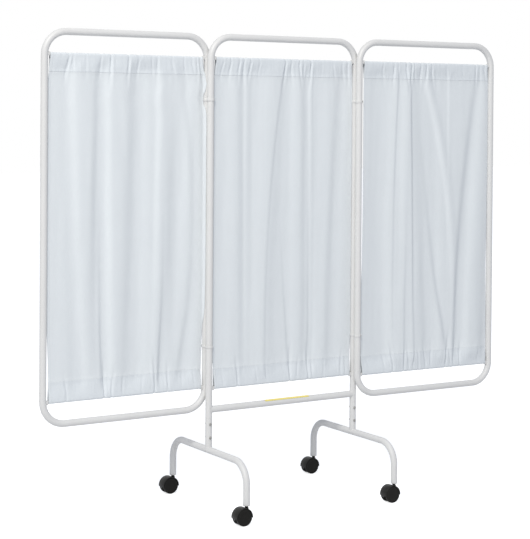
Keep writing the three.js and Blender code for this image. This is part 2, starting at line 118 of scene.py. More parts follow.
SIDES = ("left", "right")
CASTERS = ("front_left", "front_right", "rear_left", "rear_right")


# Sizes and colours that a user would change


class ScreenSizes(PropertyGroup):
    tube_diameter: FloatProperty(
        name="Tube diameter",
        description="Outside diameter of the frame tube",
        default=0.025,
        unit="LENGTH",
        precision=4,
    )
    tube_wall: FloatProperty(
        name="Tube wall",
        description="Thickness of the frame tube's wall",
        default=0.0012,
        unit="LENGTH",
        precision=4,
    )
    frame_bend: FloatProperty(
        name="Frame bend",
        description="Radius of the frames' corners, on the tube's axis",
        default=0.082,
        unit="LENGTH",
    )
    base_bend: FloatProperty(
        name="Base bend",
        description="Radius of the bases' shoulders, on the tube's axis",
        default=0.077,
        unit="LENGTH",
    )
    weld_bead: FloatProperty(
        name="Weld bead",
        description="Radius of the weld beads",
        default=0.0012,
        unit="LENGTH",
        precision=4,
    )
    cloth_thickness: FloatProperty(
        name="Cloth thickness",
        description="Thickness of the curtain cloth",
        default=0.0005,
        unit="LENGTH",
        precision=4,
    )
    fold_depth: FloatProperty(
        name="Fold depth",
        description="How far the deepest folds come out of the panel's plane",
        default=0.0120,
        unit="LENGTH",
        precision=4,
    )
    fold_steepness: FloatProperty(
        name="Fold steepness",
        description="Slope of the steepest folds",
        default=0.32,
    )
    pleat_depth: FloatProperty(
        name="Pleat depth",
        description="Depth of the deepest small pleats in the hems",
        default=0.0024,
        unit="LENGTH",
        precision=4,
    )
    flat_width: FloatProperty(
        name="Flat width",
        description="Width of each curtain's cloth before it is gathered",
        default=0.68,
        unit="LENGTH",
    )
    top_hem: FloatProperty(
        name="Top hem",
        description="From the top rod to the stitching under it",
        default=0.060,
        unit="LENGTH",
    )
    bottom_hem: FloatProperty(
        name="Bottom hem",
        description="From the bottom rod to the stitching above it",
        default=0.068,
        unit="LENGTH",
    )
    tube_sides: IntProperty(
        name="Tube sides",
        description="Flat sides round a tube",
        default=36,
        min=8,
    )
    bend_steps: IntProperty(
        name="Bend steps",
        description="Steps of a quarter bend",
        default=14,
        min=3,
    )


class ScreenFinishes(PropertyGroup):
    paint: FloatVectorProperty(
        name="Paint",
        description="Powder coat of the frames and bases",
        subtype="COLOR",
        size=3,
        min=0,
        max=1,
        default=(0.70, 0.692, 0.678),
    )
    cloth: FloatVectorProperty(
        name="Cloth",
        description="Curtain cloth",
        subtype="COLOR",
        size=3,
        min=0,
        max=1,
        default=(0.755, 0.785, 0.80),
    )
    film: FloatVectorProperty(
        name="Film",
        description="Blank marker strip on the crossbar",
        subtype="COLOR",
        size=3,
        min=0,
        max=1,
        default=(0.88, 0.74, 0.20),
    )
    dark_steel: FloatVectorProperty(
        name="Dark steel",
        description="Bolts and rivets",
        subtype="COLOR",
        size=3,
        min=0,
        max=1,
        default=(0.33, 0.325, 0.315),
    )
    bright_steel: FloatVectorProperty(
        name="Bright steel",
        description="Nuts, axles and the tubes inside the posts",
        subtype="COLOR",
        size=3,
        min=0,
        max=1,
        default=(0.52, 0.51, 0.49),
    )
    socket: FloatVectorProperty(
        name="Socket plastic",
        description="Plugs in the legs' ends",
        subtype="COLOR",
        size=3,
        min=0,
        max=1,
        default=(0.62, 0.605, 0.58),
    )
    caster: FloatVectorProperty(
        name="Caster plastic",
        description="Hoods and wheels of the casters",
        subtype="COLOR",
        size=3,
        min=0,
        max=1,
        default=(0.0075, 0.0072, 0.0062),
    )


def sizes():
    return bpy.context.scene.screen_sizes


def colours():
    return bpy.context.scene.screen_finishes


def tube_radius():
    return sizes().tube_diameter / 2


# Shader sums


class Number:
    """A number in a finish. Sums on it add Math nodes."""

    def __init__(self, finish, socket):
        self.finish = finish
        self.socket = socket

    def math(self, operation, *numbers):
        inputs = dict(enumerate(numbers))
        made = self.finish.make("ShaderNodeMath", {"operation": operation}, inputs)
        return Number(self.finish, made.outputs[0])

    def __add__(self, other):
        return self.math("ADD", self, other)

    def __radd__(self, other):
        return self.math("ADD", other, self)

    def __sub__(self, other):
        return self.math("SUBTRACT", self, other)

    def __rsub__(self, other):
        return self.math("SUBTRACT", other, self)

    def __mul__(self, other):
        return self.math("MULTIPLY", self, other)

    def __rmul__(self, other):
        return self.math("MULTIPLY", other, self)

    def sine(self):
        return self.math("SINE", self)

    def size(self):
        return self.math("ABSOLUTE", self)

    def part(self):
        """What is left over whole numbers."""
        return self.math("FRACT", self)

    def least(self, other):
        return self.math("MINIMUM", self, other)

    def most(self, other):
        return self.math("MAXIMUM", self, other)

    def step(self, low, high):
        """Goes smoothly from 0 to 1 between two values, or from 1 to 0 where low is the higher."""
        down = low > high
        ends = (high, low) if down else (low, high)
        made = self.finish.make(
            "ShaderNodeMapRange",
            {"interpolation_type": "SMOOTHSTEP"},
            {
                "Value": self,
                "From Min": ends[0],
                "From Max": ends[1],
                "To Min": float(down),
                "To Max": float(not down),
            },
        )
        return Number(self.finish, made.outputs[0])


def socket_name(words):
    return words.replace("_", " ").title().replace("Ior", "IOR")


class Nodes:
    """The nodes of a material or a world."""

    def __init__(self, owner):
        owner.use_nodes = True
        self.tree = owner.node_tree
        self.tree.nodes.clear()

    def make(self, kind, settings=None, inputs=None):
        node = self.tree.nodes.new(kind)
        for name, value in (settings or {}).items():
            setattr(node, name, value)
        for key, value in (inputs or {}).items():
            self.feed(node.inputs[key], value)
        return node

    def feed(self, inlet, value):
        if isinstance(value, Number):
            value = value.socket
        if isinstance(value, bpy.types.NodeSocket):
            self.tree.links.new(value, inlet)
        elif hasattr(inlet.default_value, "__len__") and len(value) < len(inlet.default_value):
            inlet.default_value = (*value, 1)
        else:
            inlet.default_value = value


class Finish(Nodes):
    """A material in the making. Values given by name are set on the shader's own sockets."""

    def __init__(self, name, **constants):
        self.material = bpy.data.materials.new(name)
        super().__init__(self.material)
        self.shader = self.make("ShaderNodeBsdfPrincipled")
        self.make("ShaderNodeOutputMaterial", None, {"Surface": self.shader.outputs[0]})
        for words, value in constants.items():
            self.shader.inputs[socket_name(words)].default_value = value

    def set(self, **values):
        for words, value in values.items():
            self.feed(self.shader.inputs[socket_name(words)], value)

    def place(self):
        return self.make("ShaderNodeTexCoord").outputs["Object"]

    def along(self, vector):
        """A vector's three numbers."""
        made = self.make("ShaderNodeSeparateXYZ", None, {0: vector})
        return tuple(Number(self, outlet) for outlet in made.outputs)

    def stretched(self, vector, scale):
        made = self.make("ShaderNodeMapping", None, {"Vector": vector, "Scale": scale})
        return made.outputs[0]

    def noise(self, vector, scale, detail=2.0, roughness=0.5):
        inputs = {"Vector": vector, "Scale": scale, "Detail": detail, "Roughness": roughness}
        return Number(self, self.make("ShaderNodeTexNoise", None, inputs).outputs[0])

    def mix(self, share, first, second):
        made = self.make("ShaderNodeMix", {"data_type": "RGBA"}, {0: share, 6: first, 7: second})
        return made.outputs[2]

    def bump(self, height, distance, strength=1.0, under=None):
        inputs = {"Height": height, "Distance": distance, "Strength": strength}
        if under is not None:
            inputs["Normal"] = under
        return self.make("ShaderNodeBump", None, inputs).outputs[0]


def lighter(colour, share):
    return tuple(value + (1 - value) * share for value in colour)


def darker(colour, share):
    return tuple(value * (1 - share) for value in colour)


def frame_paint():
    """White powder coat: an even satin skin, a little marked near the floor."""
    finish = Finish("Frame paint", coat_weight=0.1, coat_roughness=0.35)
    paint = tuple(colours().paint)
    place = finish.place()
    height = finish.along(place)[2]
    peel = finish.noise(place, 300, 2)
    cloudy = finish.noise(place, 7, 3)
    handled = finish.noise(place, 30, 4, 0.65).step(0.56, 0.76)
    low = height.step(0.26, 0.05)
    marks = finish.noise(finish.stretched(place, (1, 1, 0.35)), 110, 5, 0.7).step(0.62, 0.74) * low
    tint = finish.mix(cloudy.step(0.3, 0.7), darker(paint, 0.012), lighter(paint, 0.02))
    finish.set(
        base_color=finish.mix(marks * 0.2, tint, darker(paint, 0.4)),
        roughness=0.44 + cloudy * 0.06 + handled * 0.05 + marks * 0.12,
        normal=finish.bump(peel + marks * 0.5, 0.00002),
    )
    return finish.material


def rod_paint():
    """The thinner paint of the curtain rods, rubbed where the cloth slides."""
    finish = Finish("Rod paint")
    paint = tuple(colours().paint)
    place = finish.place()
    rubbed = finish.noise(finish.stretched(place, (0.3, 1, 1)), 90, 4, 0.6).step(0.52, 0.75)
    finish.set(
        base_color=finish.mix(rubbed * 0.4, darker(paint, 0.02), darker(paint, 0.2)),
        roughness=0.42 + rubbed * 0.15,
        normal=finish.bump(finish.noise(place, 520, 2), 0.00004),
    )
    return finish.material


def curtain_cloth():
    """Pale blue plain weave, read along the cloth from its own map in metres."""
    finish = Finish("Curtain cloth", sheen_weight=0.08, sheen_roughness=0.5, specular_ior_level=0.2)
    cloth = tuple(colours().cloth)
    # Painted shade: the hems' darker, bluer colour stands in for the light that shines through the
    # single cloth but less through the two layers of a hem.
    hem_shade_colour = tuple(value * share for value, share in zip(cloth, (0.958, 0.966, 0.98)))
    path = cloth_path()
    top_seam = path.top_stitch
    bottom_seam = path.bottom_stitch
    stitch_length = 0.0042
    fold_over = 0.0006
    chart = finish.make("ShaderNodeUVMap", {"uv_map": "Cloth"}).outputs[0]
    across, along, _ = finish.along(chart)
    thread = 2 * math.pi / 0.00062
    warp = (across * thread).sine()
    weft = (along * thread).sine()
    weave = (warp * weft).size()
    slub = finish.noise(finish.stretched(chart, (50, 900, 1)), 1, 3, 0.6)
    slub_up = finish.noise(finish.stretched(chart, (900, 50, 1)), 1, 3, 0.6)
    yarn = (slub + slub_up) * 0.5
    wash = finish.noise(chart, 9, 4, 0.55)
    sway = (finish.noise(finish.stretched(chart, (9, 2, 1)), 1, 3, 0.6) - 0.5) * 0.006
    line = along + sway
    seam = (line - top_seam).size().least((line - bottom_seam).size())
    dash = (across * (1 / stitch_length)).part().step(0.70, 0.82)
    stitch = seam.step(0.0010, 0.0003) * (1 - dash)
    pucker = seam.step(0.012, 0.0004) * finish.noise(finish.stretched(chart, (150, 16, 1)), 1, 2)
    upper = line.step(top_seam + fold_over, top_seam - fold_over)
    lower = line.step(bottom_seam - fold_over, bottom_seam + fold_over)
    hem = upper.most(lower)
    edge = across.least(sizes().flat_width - across)
    side_hem = edge.step(0.0122, 0.0108)
    side_stitch = (edge - 0.0098).size().step(0.0008, 0.0003)
    plain = finish.mix(wash.step(0.3, 0.7), darker(cloth, 0.012), lighter(cloth, 0.02))
    woven = finish.mix(yarn.step(0.35, 0.68) * 0.35, plain, darker(cloth, 0.035))
    # Painted shade on the hems and side hems, where the cloth lies double.
    woven_with_hem_shade = finish.mix(hem.most(side_hem * 0.6) * 0.6, woven, hem_shade_colour)
    crumpled = finish.noise(finish.stretched(chart, (55, 20, 1)), 1, 4, 0.6) * hem
    threads = finish.bump(weave * 0.4 + yarn * 0.8, 0.00008, 0.6)
    sewing = finish.bump(
        side_hem * 0.4 + pucker * 1.4 + crumpled * 3 - stitch * 0.12 - side_stitch * 0.2,
        0.0009,
        0.8,
        threads,
    )
    finish.set(
        base_color=finish.mix(stitch.most(side_stitch * 0.6) * 0.09, woven_with_hem_shade, darker(cloth, 0.2)),
        roughness=0.84 + yarn * 0.1,
        normal=sewing,
    )
    return finish.material


def strip_film():
    """Pale yellow vinyl with faint ripples and rubbed edges."""
    finish = Finish("Strip film", coat_weight=0.2, coat_roughness=0.2)
    film = tuple(colours().film)
    place = finish.place()
    ripple = finish.noise(finish.stretched(place, (0.4, 1, 1)), 60, 2)
    grime = finish.noise(place, 150, 4, 0.6).step(0.55, 0.8)
    finish.set(
        base_color=finish.mix(grime * 0.25, film, darker(film, 0.15)),
        roughness=0.4 + grime * 0.2,
        normal=finish.bump(ripple, 0.0002),
    )
    return finish.material


def steel(name, colour, roughness, streaks):
    """Plated steel with fine turning marks and dull specks."""
    finish = Finish(name)
    place = finish.place()
    turned = finish.noise(finish.stretched(place, streaks), 300, 3, 0.6)
    dull = finish.noise(place, 240, 4, 0.6).step(0.5, 0.75)
    finish.set(
        base_color=finish.mix(dull * 0.6, colour, darker(colour, 0.35)),
        metallic=0.95 - dull * 0.25,
        roughness=roughness + turned * 0.12 + dull * 0.12,
        normal=finish.bump(turned, 0.00004),
    )
    return finish.material


def dark_steel():
    grey = tuple(colours().dark_steel)
    return steel("Dark steel", grey, roughness=0.42, streaks=(1, 1, 1))


def bright_steel():
    grey = tuple(colours().bright_steel)
    return steel("Bright steel", grey, roughness=0.22, streaks=(0.2, 1, 1))


def moulded(name, colour, roughness, grain, dust_share, gloss=0.5):
    """Moulded plastic with a fine grain, and dust on its upper parts."""
    finish = Finish(name, specular_ior_level=gloss)
    place = finish.place()
    height = finish.along(place)[2]
    skin = finish.noise(place, grain, 3, 0.6)
    dust = finish.noise(place, 70, 5, 0.65).step(0.45, 0.75)
    dusty = dust * height.step(0.02, 0.062) * dust_share
    finish.set(
        base_color=finish.mix(dusty, colour, lighter(colour, 0.2)),
        roughness=roughness + skin * 0.1 + dusty * 0.25,
        normal=finish.bump(skin, 0.00005),
    )
    return finish.material


def socket_plastic():
    grey = tuple(colours().socket)
    return moulded("Socket plastic", grey, roughness=0.42, grain=900, dust_share=0.2)


def stem_steel():
    black = darker(colours().caster, 0.1)
    return moulded("Stem coating", black, roughness=0.36, grain=700, dust_share=0.03, gloss=0.15)


def hood_plastic():
    black = tuple(colours().caster)
    return moulded("Hood plastic", black, roughness=0.34, grain=1100, dust_share=0.04, gloss=0.22)


def wheel_plastic():
    """Black wheels whose treads are rubbed a little grey where they roll."""
    finish = Finish("Wheel plastic", specular_ior_level=0.12)
    black = tuple(colours().caster)
    place = finish.place()
    skin = finish.noise(place, 900, 3, 0.6)
    attribute = finish.make("ShaderNodeAttribute", {"attribute_name": "tread"})
    tread = Number(finish, attribute.outputs["Fac"])
    grit = finish.noise(place, 380, 5, 0.7).step(0.42, 0.7)
    worn = tread * (0.35 + grit * 0.65)
    finish.set(
        base_color=finish.mix(worn * 0.3, black, lighter(black, 0.05)),
        roughness=0.46 + skin * 0.08 + worn * 0.3,
        normal=finish.bump(skin + worn * 0.8, 0.00006),
    )
    return finish.material


FINISHES = {
    "frame_paint": frame_paint,
    "rod_paint": rod_paint,
    "curtain_cloth": curtain_cloth,
    "strip_film": strip_film,
    "dark_steel": dark_steel,
    "bright_steel": bright_steel,
    "socket_plastic": socket_plastic,
    "stem_steel": stem_steel,
    "hood_plastic": hood_plastic,
    "wheel_plastic": wheel_plastic,
}
made_finishes = {}


def finish_for(slot):
    """The material of a slot, made when it is first asked for."""
    if slot not in made_finishes:
        made_finishes[slot] = FINISHES[slot]()
    return made_finishes[slot]


# Making pieces


def verts_of(parts):
    return [part for part in parts if isinstance(part, bmesh.types.BMVert)]


def edges_of(parts):
    return [part for part in parts if isinstance(part, bmesh.types.BMEdge)]


def ring(bm, place, direction, radius, sides):
    """A ring of edges round a place, square to a direction."""
    turn = UP.rotation_difference(direction).to_matrix().to_4x4()
    made = bmesh.ops.create_circle(
        bm,
        cap_ends=False,
        segments=sides,
        radius=radius,
        matrix=Matrix.Translation(place) @ turn,
    )
    return list(dict.fromkeys(edge for vert in made["verts"] for edge in vert.link_edges))


def ring_verts(edges):
    """The vertices of edges, once each and in the same order every time."""
    return list(dict.fromkeys(vert for edge in edges for vert in edge.verts))


def drawn_on(bm, edges, move):
    """The ring at the end of a straight drawn on from a ring."""
    made = bmesh.ops.extrude_edge_only(bm, edges=edges)["geom"]
    bmesh.ops.translate(bm, verts=verts_of(made), vec=move)
    return edges_of(made)


def resized(bm, edges, middle, share):
    space = Matrix.Translation(-middle)
    bmesh.ops.scale(bm, vec=(share, share, share), space=space, verts=ring_verts(edges))


def swung(bm, edges, centre, axis, angle, steps):
    """The ring at the end of a bend drawn on from a ring."""
    made = bmesh.ops.spin(
        bm,
        geom=edges + ring_verts(edges),
        cent=centre,
        axis=axis,
        angle=angle,
        steps=steps,
        use_duplicate=False,
    )
    return edges_of(made["geom_last"])


def bent_tube(bm, corners, bend, closed=False):
    """A frame tube through corners. Returns its first and last rings, or none where it is
    closed."""
    sides = sizes().tube_sides
    steps = sizes().bend_steps
    if closed:
        start = (corners[0] + corners[-1]) / 2
        route = [start, *corners, start]
    else:
        route = list(corners)
    first = ring(bm, route[0], (route[1] - route[0]).normalized(), tube_radius(), sides)
    here = route[0]
    edges = first
    for corner, onward in zip(route[1:-1], route[2:]):
        into = (corner - here).normalized()
        out = (onward - corner).normalized()
        angle = into.angle(out)
        reach = bend * math.tan(angle / 2)
        foot = corner - into * reach
        edges = drawn_on(bm, edges, foot - here)
        inward = (out - into * into.dot(out)).normalized()
        edges = swung(bm, edges, foot + inward * bend, into.cross(out), angle, steps)
        here = corner + out * reach
    last = drawn_on(bm, edges, route[-1] - here)
    if closed:
        bmesh.ops.remove_doubles(bm, verts=bm.verts, dist=1e-5)
        return None
    return first, last


def open_end(bm, edges, middle, outward, depth):
    """Turns a tube's end in over its wall and closes its bore at a depth."""
    radius = tube_radius()
    wall = sizes().tube_wall
    rim = wall * 0.3
    here = middle.copy()
    for target, move in (
        (radius - rim, 0),
        (radius - wall + rim, 0),
        (radius - wall, -rim),
        (radius - wall, -depth),
    ):
        made = drawn_on(bm, edges, outward * move)
        here += outward * move
        now = (ring_verts(made)[0].co - here).length
        resized(bm, made, here, target / now)
        edges = made
    bmesh.ops.contextual_create(bm, geom=edges)


def open_arch(corners, bend, depth):
    """A frame tube bent into an arch, with both its feet open to a depth."""
    bm = bmesh.new()
    ends = bent_tube(bm, corners, bend)
    for end, foot in zip(ends, (corners[0], corners[-1])):
        open_end(bm, end, foot, -UP, depth)
    return bm


def lathe(profile, axis, place, steps, closed=False):
    """A profile of (radius, distance along the axis) turned once round. Ends on the axis close."""
    bm = bmesh.new()
    side = axis.orthogonal().normalized()
    verts = [bm.verts.new(place + side * radius + axis * along) for radius, along in profile]
    pairs = list(zip(verts, verts[1:]))
    if closed:
        pairs.append((verts[-1], verts[0]))
    edges = [bm.edges.new(pair) for pair in pairs]
    bmesh.ops.spin(
        bm,
        geom=verts + edges,
        cent=place,
        axis=axis,
        angle=2 * math.pi,
        steps=steps,
        use_merge=True,
        use_duplicate=False,
    )
    bmesh.ops.remove_doubles(bm, verts=bm.verts, dist=1e-6)
    return bm


def round_bar(radius, low, high, axis, place, steps):
    """A plain round bar between two distances along its axis."""
    return lathe([(0, low), (radius, low), (radius, high), (0, high)], axis, place, steps)


def thickened(bm, move, rounding):
    """Gives flat faces a thickness by a move, and rounds off the plate's edges."""
    made = bmesh.ops.extrude_face_region(bm, geom=bm.faces[:])["geom"]
    bmesh.ops.translate(bm, verts=verts_of(made), vec=move)
    bmesh.ops.recalc_face_normals(bm, faces=bm.faces)
    corner = math.radians(50)
    bmesh.ops.bevel(
        bm,
        geom=[edge for edge in bm.edges if edge.calc_face_angle(0) > corner],
        offset=rounding,
        affect="EDGES",
        segments=2,
        profile=0.5,
        material=-1,
    )


def into_mesh(name, bm, crease=38):
    """A bmesh as a mesh whose faces point out and shade smoothly up to a crease's angle."""
    bmesh.ops.recalc_face_normals(bm, faces=bm.faces)
    limit = math.radians(crease)
    for face in bm.faces:
        face.smooth = True
    for edge in bm.edges:
        edge.smooth = edge.calc_face_angle(0) < limit
    mesh = bpy.data.meshes.new(name)
    bm.to_mesh(mesh)
    bm.free()
    return mesh


def add_piece(name, mesh, slot, body, *nodes):
    """Puts a mesh in the scene in a node's place, with its finish and its body."""
    piece = bpy.data.objects.new(name, mesh)
    bpy.context.scene.collection.objects.link(piece)
    mesh.materials.append(finish_for(slot))
    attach(piece, body)
    if nodes:
        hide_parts(*nodes)
    return piece


def carved(mesh, cutter, operation="DIFFERENCE"):
    """A mesh cut by another, or joined to it."""
    whole = bpy.data.objects.new("whole", mesh)
    tool = bpy.data.objects.new("tool", cutter)
    bpy.context.scene.collection.objects.link(whole)
    bpy.context.scene.collection.objects.link(tool)
    change = whole.modifiers.new("change", "BOOLEAN")
    change.operation = operation
    change.solver = "EXACT"
    change.object = tool
    bpy.context.view_layer.update()
    seen = whole.evaluated_get(bpy.context.evaluated_depsgraph_get())
    made = bpy.data.meshes.new_from_object(seen)
    for used in (whole, tool):
        bpy.data.objects.remove(used)
    return made


# The frames


def joined(bm, other):
    """Adds another bmesh to one."""
    mesh = bpy.data.meshes.new("joined")
    other.to_mesh(mesh)
    other.free()
    bm.from_mesh(mesh)
    bpy.data.meshes.remove(mesh)


def rod_bracket(end, spacing, opens, height):
    """A slotted bracket on the inside of a post, its slot open up (1) or down (-1)."""
    half = 0.006
    low = -0.005
    high = 0.009
    slot = 0.0033
    wall = spacing / 2 - tube_radius()
    face = wall - 0.0065
    root = wall + 0.002
    steps = 9
    outline = [(-half, low), (half, low), (half, high), (slot, high)]
    for step in range(steps + 1):
        turn = step * math.pi / steps
        outline.append((slot * math.cos(turn), -slot * math.sin(turn)))
    outline += [(-slot, high), (-half, high)]
    bm = bmesh.new()
    bm.faces.new([bm.verts.new((end * face, y, height + opens * z)) for y, z in outline])
    thickened(bm, Vector((end * (root - face), 0, 0)), 0.0006)
    return bm


def add_brackets(bm, panel):
    for place, opens in (("top", 1), ("bottom", -1)):
        height = middle_of(f"curtain_rod_{panel.name}_{place}").z
        for end in (-1, 1):
            joined(bm, rod_bracket(end, panel.spacing, opens, height))


class SCREEN_OT_centre_frame(Operator):
    """Add the centre panel's bent frame with its rod brackets"""

    bl_idname = "screen.centre_frame"
    bl_label = "Centre frame"

    def execute(self, context):
        panel = panel_places()[1]
        low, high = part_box("centre_frame")
        reach = panel.spacing / 2
        top = high.z - tube_radius()
        corners = [
            Vector((-reach, 0, low.z)),
            Vector((-reach, 0, top)),
            Vector((reach, 0, top)),
            Vector((reach, 0, low.z)),
        ]
        bm = open_arch(corners, sizes().frame_bend, depth=0.05)
        add_brackets(bm, panel)
        bm.transform(panel.matrix)
        mesh = into_mesh("Centre frame", bm)
        add_piece("Centre_frame", mesh, "frame_paint", "stand", "centre_frame")
        return {"FINISHED"}


class SCREEN_OT_wing_frames(Operator):
    """Add the closed frames of both wings with their rod brackets"""

    bl_idname = "screen.wing_frames"
    bl_label = "Wing frames"

    def execute(self, context):
        for panel in panel_places()[::2]:
            node = f"wing_frame_{panel.name}"
            low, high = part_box(node)
            reach = panel.spacing / 2
            top = high.z - tube_radius()
            bottom = low.z + tube_radius()
            corners = [
                Vector((-reach, 0, top)),
                Vector((reach, 0, top)),
                Vector((reach, 0, bottom)),
                Vector((-reach, 0, bottom)),
            ]
            bm = bmesh.new()
            bent_tube(bm, corners, sizes().frame_bend, closed=True)
            add_brackets(bm, panel)
            bm.transform(panel.matrix)
            name = f"Wing_frame_{panel.name}"
            add_piece(name, into_mesh(name, bm), "frame_paint", panel.body, node)
        return {"FINISHED"}


WELD_OVERLAP = 0.0003


def saddle(distance):
    """How far a frame tube stands out at a distance from its axis."""
    return math.sqrt(max(0, tube_radius() ** 2 - distance**2))


def weld_bead(bm, place, axis, fit):
    """A bead of weld round a tube's end. The fit moves each of its points onto the other tube."""
    bead = sizes().weld_bead
    middle = tube_radius() + bead * 0.6
    sides = 8
    turns = [2 * math.pi * side / sides for side in range(sides)]
    profile = [(middle + bead * math.cos(turn), bead * math.sin(turn)) for turn in turns]
    made = lathe(profile, axis, place, 48, closed=True)
    for vert in made.verts:
        vert.co += fit(vert.co)
        lump = noise.noise(vert.co * 420) * bead * 0.35
        vert.co += (vert.co - place).normalized() * lump
    joined(bm, made)


class SCREEN_OT_crossbar(Operator):
    """Add the crossbar under the centre panel, cut to the posts and welded to them"""

    bl_idname = "screen.crossbar"
    bl_label = "Crossbar"

    def execute(self, context):
        panel = panel_places()[1]
        reach = panel.spacing / 2
        height = middle_of("lower_crossbar").z
        start = Vector((-reach, 0, height))
        bm = bmesh.new()
        near = ring(bm, start, ACROSS, tube_radius(), 2 * sizes().tube_sides)
        far = drawn_on(bm, near, ACROSS * 2 * reach)
        for side, end in ((1, near), (-1, far)):
            for vert in ring_verts(end):
                vert.co.x += side * (saddle(vert.co.y) - WELD_OVERLAP)
            bmesh.ops.contextual_create(bm, geom=end)
        for side in (-1, 1):
            weld_bead(
                bm,
                Vector((side * reach, 0, height)),
                ACROSS,
                lambda point, side=side: ACROSS * -side * saddle(point.y),
            )
        bm.transform(panel.matrix)
        add_piece("Crossbar", into_mesh("Crossbar", bm), "frame_paint", "stand", "lower_crossbar")
        return {"FINISHED"}


class SCREEN_OT_marker_strip(Operator):
    """Add the blank strip of film bent over the crossbar"""

    bl_idname = "screen.marker_strip"
    bl_label = "Marker strip"

    def execute(self, context):
        low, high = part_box("marker_strip")
        axis = middle_of("lower_crossbar")
        film = 0.00035
        radius = high.z - axis.z - 0.0003
        half_angle = math.asin(min(1, (high.y - low.y) / 2 / radius))
        lift = Matrix.Rotation(-half_angle, 3, "X") @ (UP * radius)
        start = Vector((low.x, axis.y, axis.z)) + lift
        bm = bmesh.new()
        ends = [bm.verts.new(start), bm.verts.new(start + ACROSS * (high.x - low.x))]
        edge = bm.edges.new(ends)
        bmesh.ops.spin(
            bm,
            geom=ends + [edge],
            cent=axis,
            axis=ACROSS,
            angle=2 * half_angle,
            steps=16,
            use_duplicate=False,
        )
        bmesh.ops.solidify(bm, geom=bm.faces[:], thickness=film)
        mesh = into_mesh("Marker strip", bm)
        add_piece("Marker_strip", mesh, "strip_film", "stand", "marker_strip")
        return {"FINISHED"}


# The bases


class SCREEN_OT_base_arches(Operator):
    """Add both arched bases"""

    bl_idname = "screen.base_arches"
    bl_label = "Base arches"

    def execute(self, context):
        radius = tube_radius()
        for side in SIDES:
            node = f"base_arch_{side}"
            low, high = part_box(node)
            middle = (low + high) / 2
            front = low.y + radius
            rear = high.y - radius
            top = high.z - radius
            corners = [
                Vector((middle.x, front, low.z)),
                Vector((middle.x, front, top)),
                Vector((middle.x, rear, top)),
                Vector((middle.x, rear, low.z)),
            ]
            bm = open_arch(corners, sizes().base_bend, depth=0.036)
            mesh = into_mesh(node, bm)
            add_piece(f"Base_arch_{side}", mesh, "frame_paint", "stand", node)
        return {"FINISHED"}


class SCREEN_OT_base_uprights(Operator):
    """Add the short uprights on the bases, saddled on the arches and welded to them"""

    bl_idname = "screen.base_uprights"
    bl_label = "Base uprights"

    def execute(self, context):
        for side in SIDES:
            node = f"base_upright_{side}"
            post = level(joint_place(f"{side}_clips_round_post"))
            foot = post + UP * (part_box(f"base_arch_{side}")[1].z - tube_radius())
            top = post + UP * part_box(node)[1].z
            bm = bmesh.new()
            edges = ring(bm, foot, UP, tube_radius(), 2 * sizes().tube_sides)
            head = drawn_on(bm, edges, top - foot)
            for vert in ring_verts(edges):
                vert.co.z += saddle(vert.co.x - post.x) - WELD_OVERLAP
            bmesh.ops.contextual_create(bm, geom=edges)
            open_end(bm, head, top, UP, depth=0.07)
            weld_bead(
                bm,
                foot,
                UP,
                lambda point, post=post: UP * saddle(point.x - post.x),
            )
            name = f"Base_upright_{side}"
            add_piece(name, into_mesh(name, bm), "frame_paint", "stand", node)
        return {"FINISHED"}


class SCREEN_OT_bolts(Operator):
    """Add the bolts through the uprights and the nuts behind them"""

    bl_idname = "screen.bolts"
    bl_label = "Bolts and nuts"

    def execute(self, context):
        for side in SIDES:
            for place in ("upper", "lower"):
                self.add_bolt(f"{side}_{place}")
                self.add_nut(f"{side}_{place}")
        return {"FINISHED"}

    def add_bolt(self, name):
        node = f"base_bolt_{name}"
        low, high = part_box(node)
        middle = (low + high) / 2
        dome = 0.0036
        head = 0.0055
        shank = 0.003
        end = 0.0005
        seat = low.y + dome
        place = Vector((middle.x, seat, middle.z))
        tip = high.y - seat
        profile = [(0, -dome), (head * 0.34, -0.00352), (head * 0.66, -0.0031)]
        profile += [(head * 0.88, -0.0022), (head * 0.98, -0.0012), (head, -0.0004)]
        profile += [(head, 0), (shank, 0), (shank, tip - end), (shank - end, tip), (0, tip)]
        mesh = into_mesh("bolt", lathe(profile, BACK, place, 32))
        top = Matrix.Translation(place - BACK * dome)
        for width, height in ((0.0058, 0.0011), (0.0011, 0.0058)):
            recess = bmesh.new()
            stretched = top @ Matrix.Diagonal((width, 0.003, height, 1))
            bmesh.ops.create_cube(recess, size=1, matrix=stretched)
            mesh = carved(mesh, into_mesh("recess", recess))
        add_piece(f"Bolt_{name}", mesh, "dark_steel", "stand", node)

    def add_nut(self, name):
        node = f"base_nut_{name}"
        low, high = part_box(node)
        middle = (low + high) / 2
        sides = 24
        bore = 0.0031
        sixth = math.pi / 3
        flat = (high.x - low.x) / 2 * math.cos(sixth / 2)
        start = Vector((middle.x, low.y, middle.z))
        bm = bmesh.new()
        outer = ring(bm, start, BACK, flat, sides)
        inner = ring(bm, start, BACK, bore, sides)
        for vert in ring_verts(outer):
            away = vert.co - start
            turn = math.atan2(away.z, away.x) % sixth - sixth / 2
            vert.co = start + away / math.cos(turn)
        bmesh.ops.bridge_loops(bm, edges=outer + inner)
        thickened(bm, BACK * (high.y - low.y), 0.0004)
        add_piece(f"Nut_{name}", into_mesh("nut", bm), "bright_steel", "stand", node)


class SCREEN_OT_connectors(Operator):
    """Finish the tubes inside the posts and the casters' axles"""

    bl_idname = "screen.connectors"
    bl_label = "Connectors and axles"

    def execute(self, context):
        nodes = [f"post_connector_{side}" for side in SIDES]
        nodes += [f"caster_axle_{caster}" for caster in CASTERS]
        for node in nodes:
            for slot in frame["nodes"][node].material_slots:
                slot.material = finish_for("bright_steel")
        return {"FINISHED"}


# The hinges

CLIP_PLAY = 0.0005


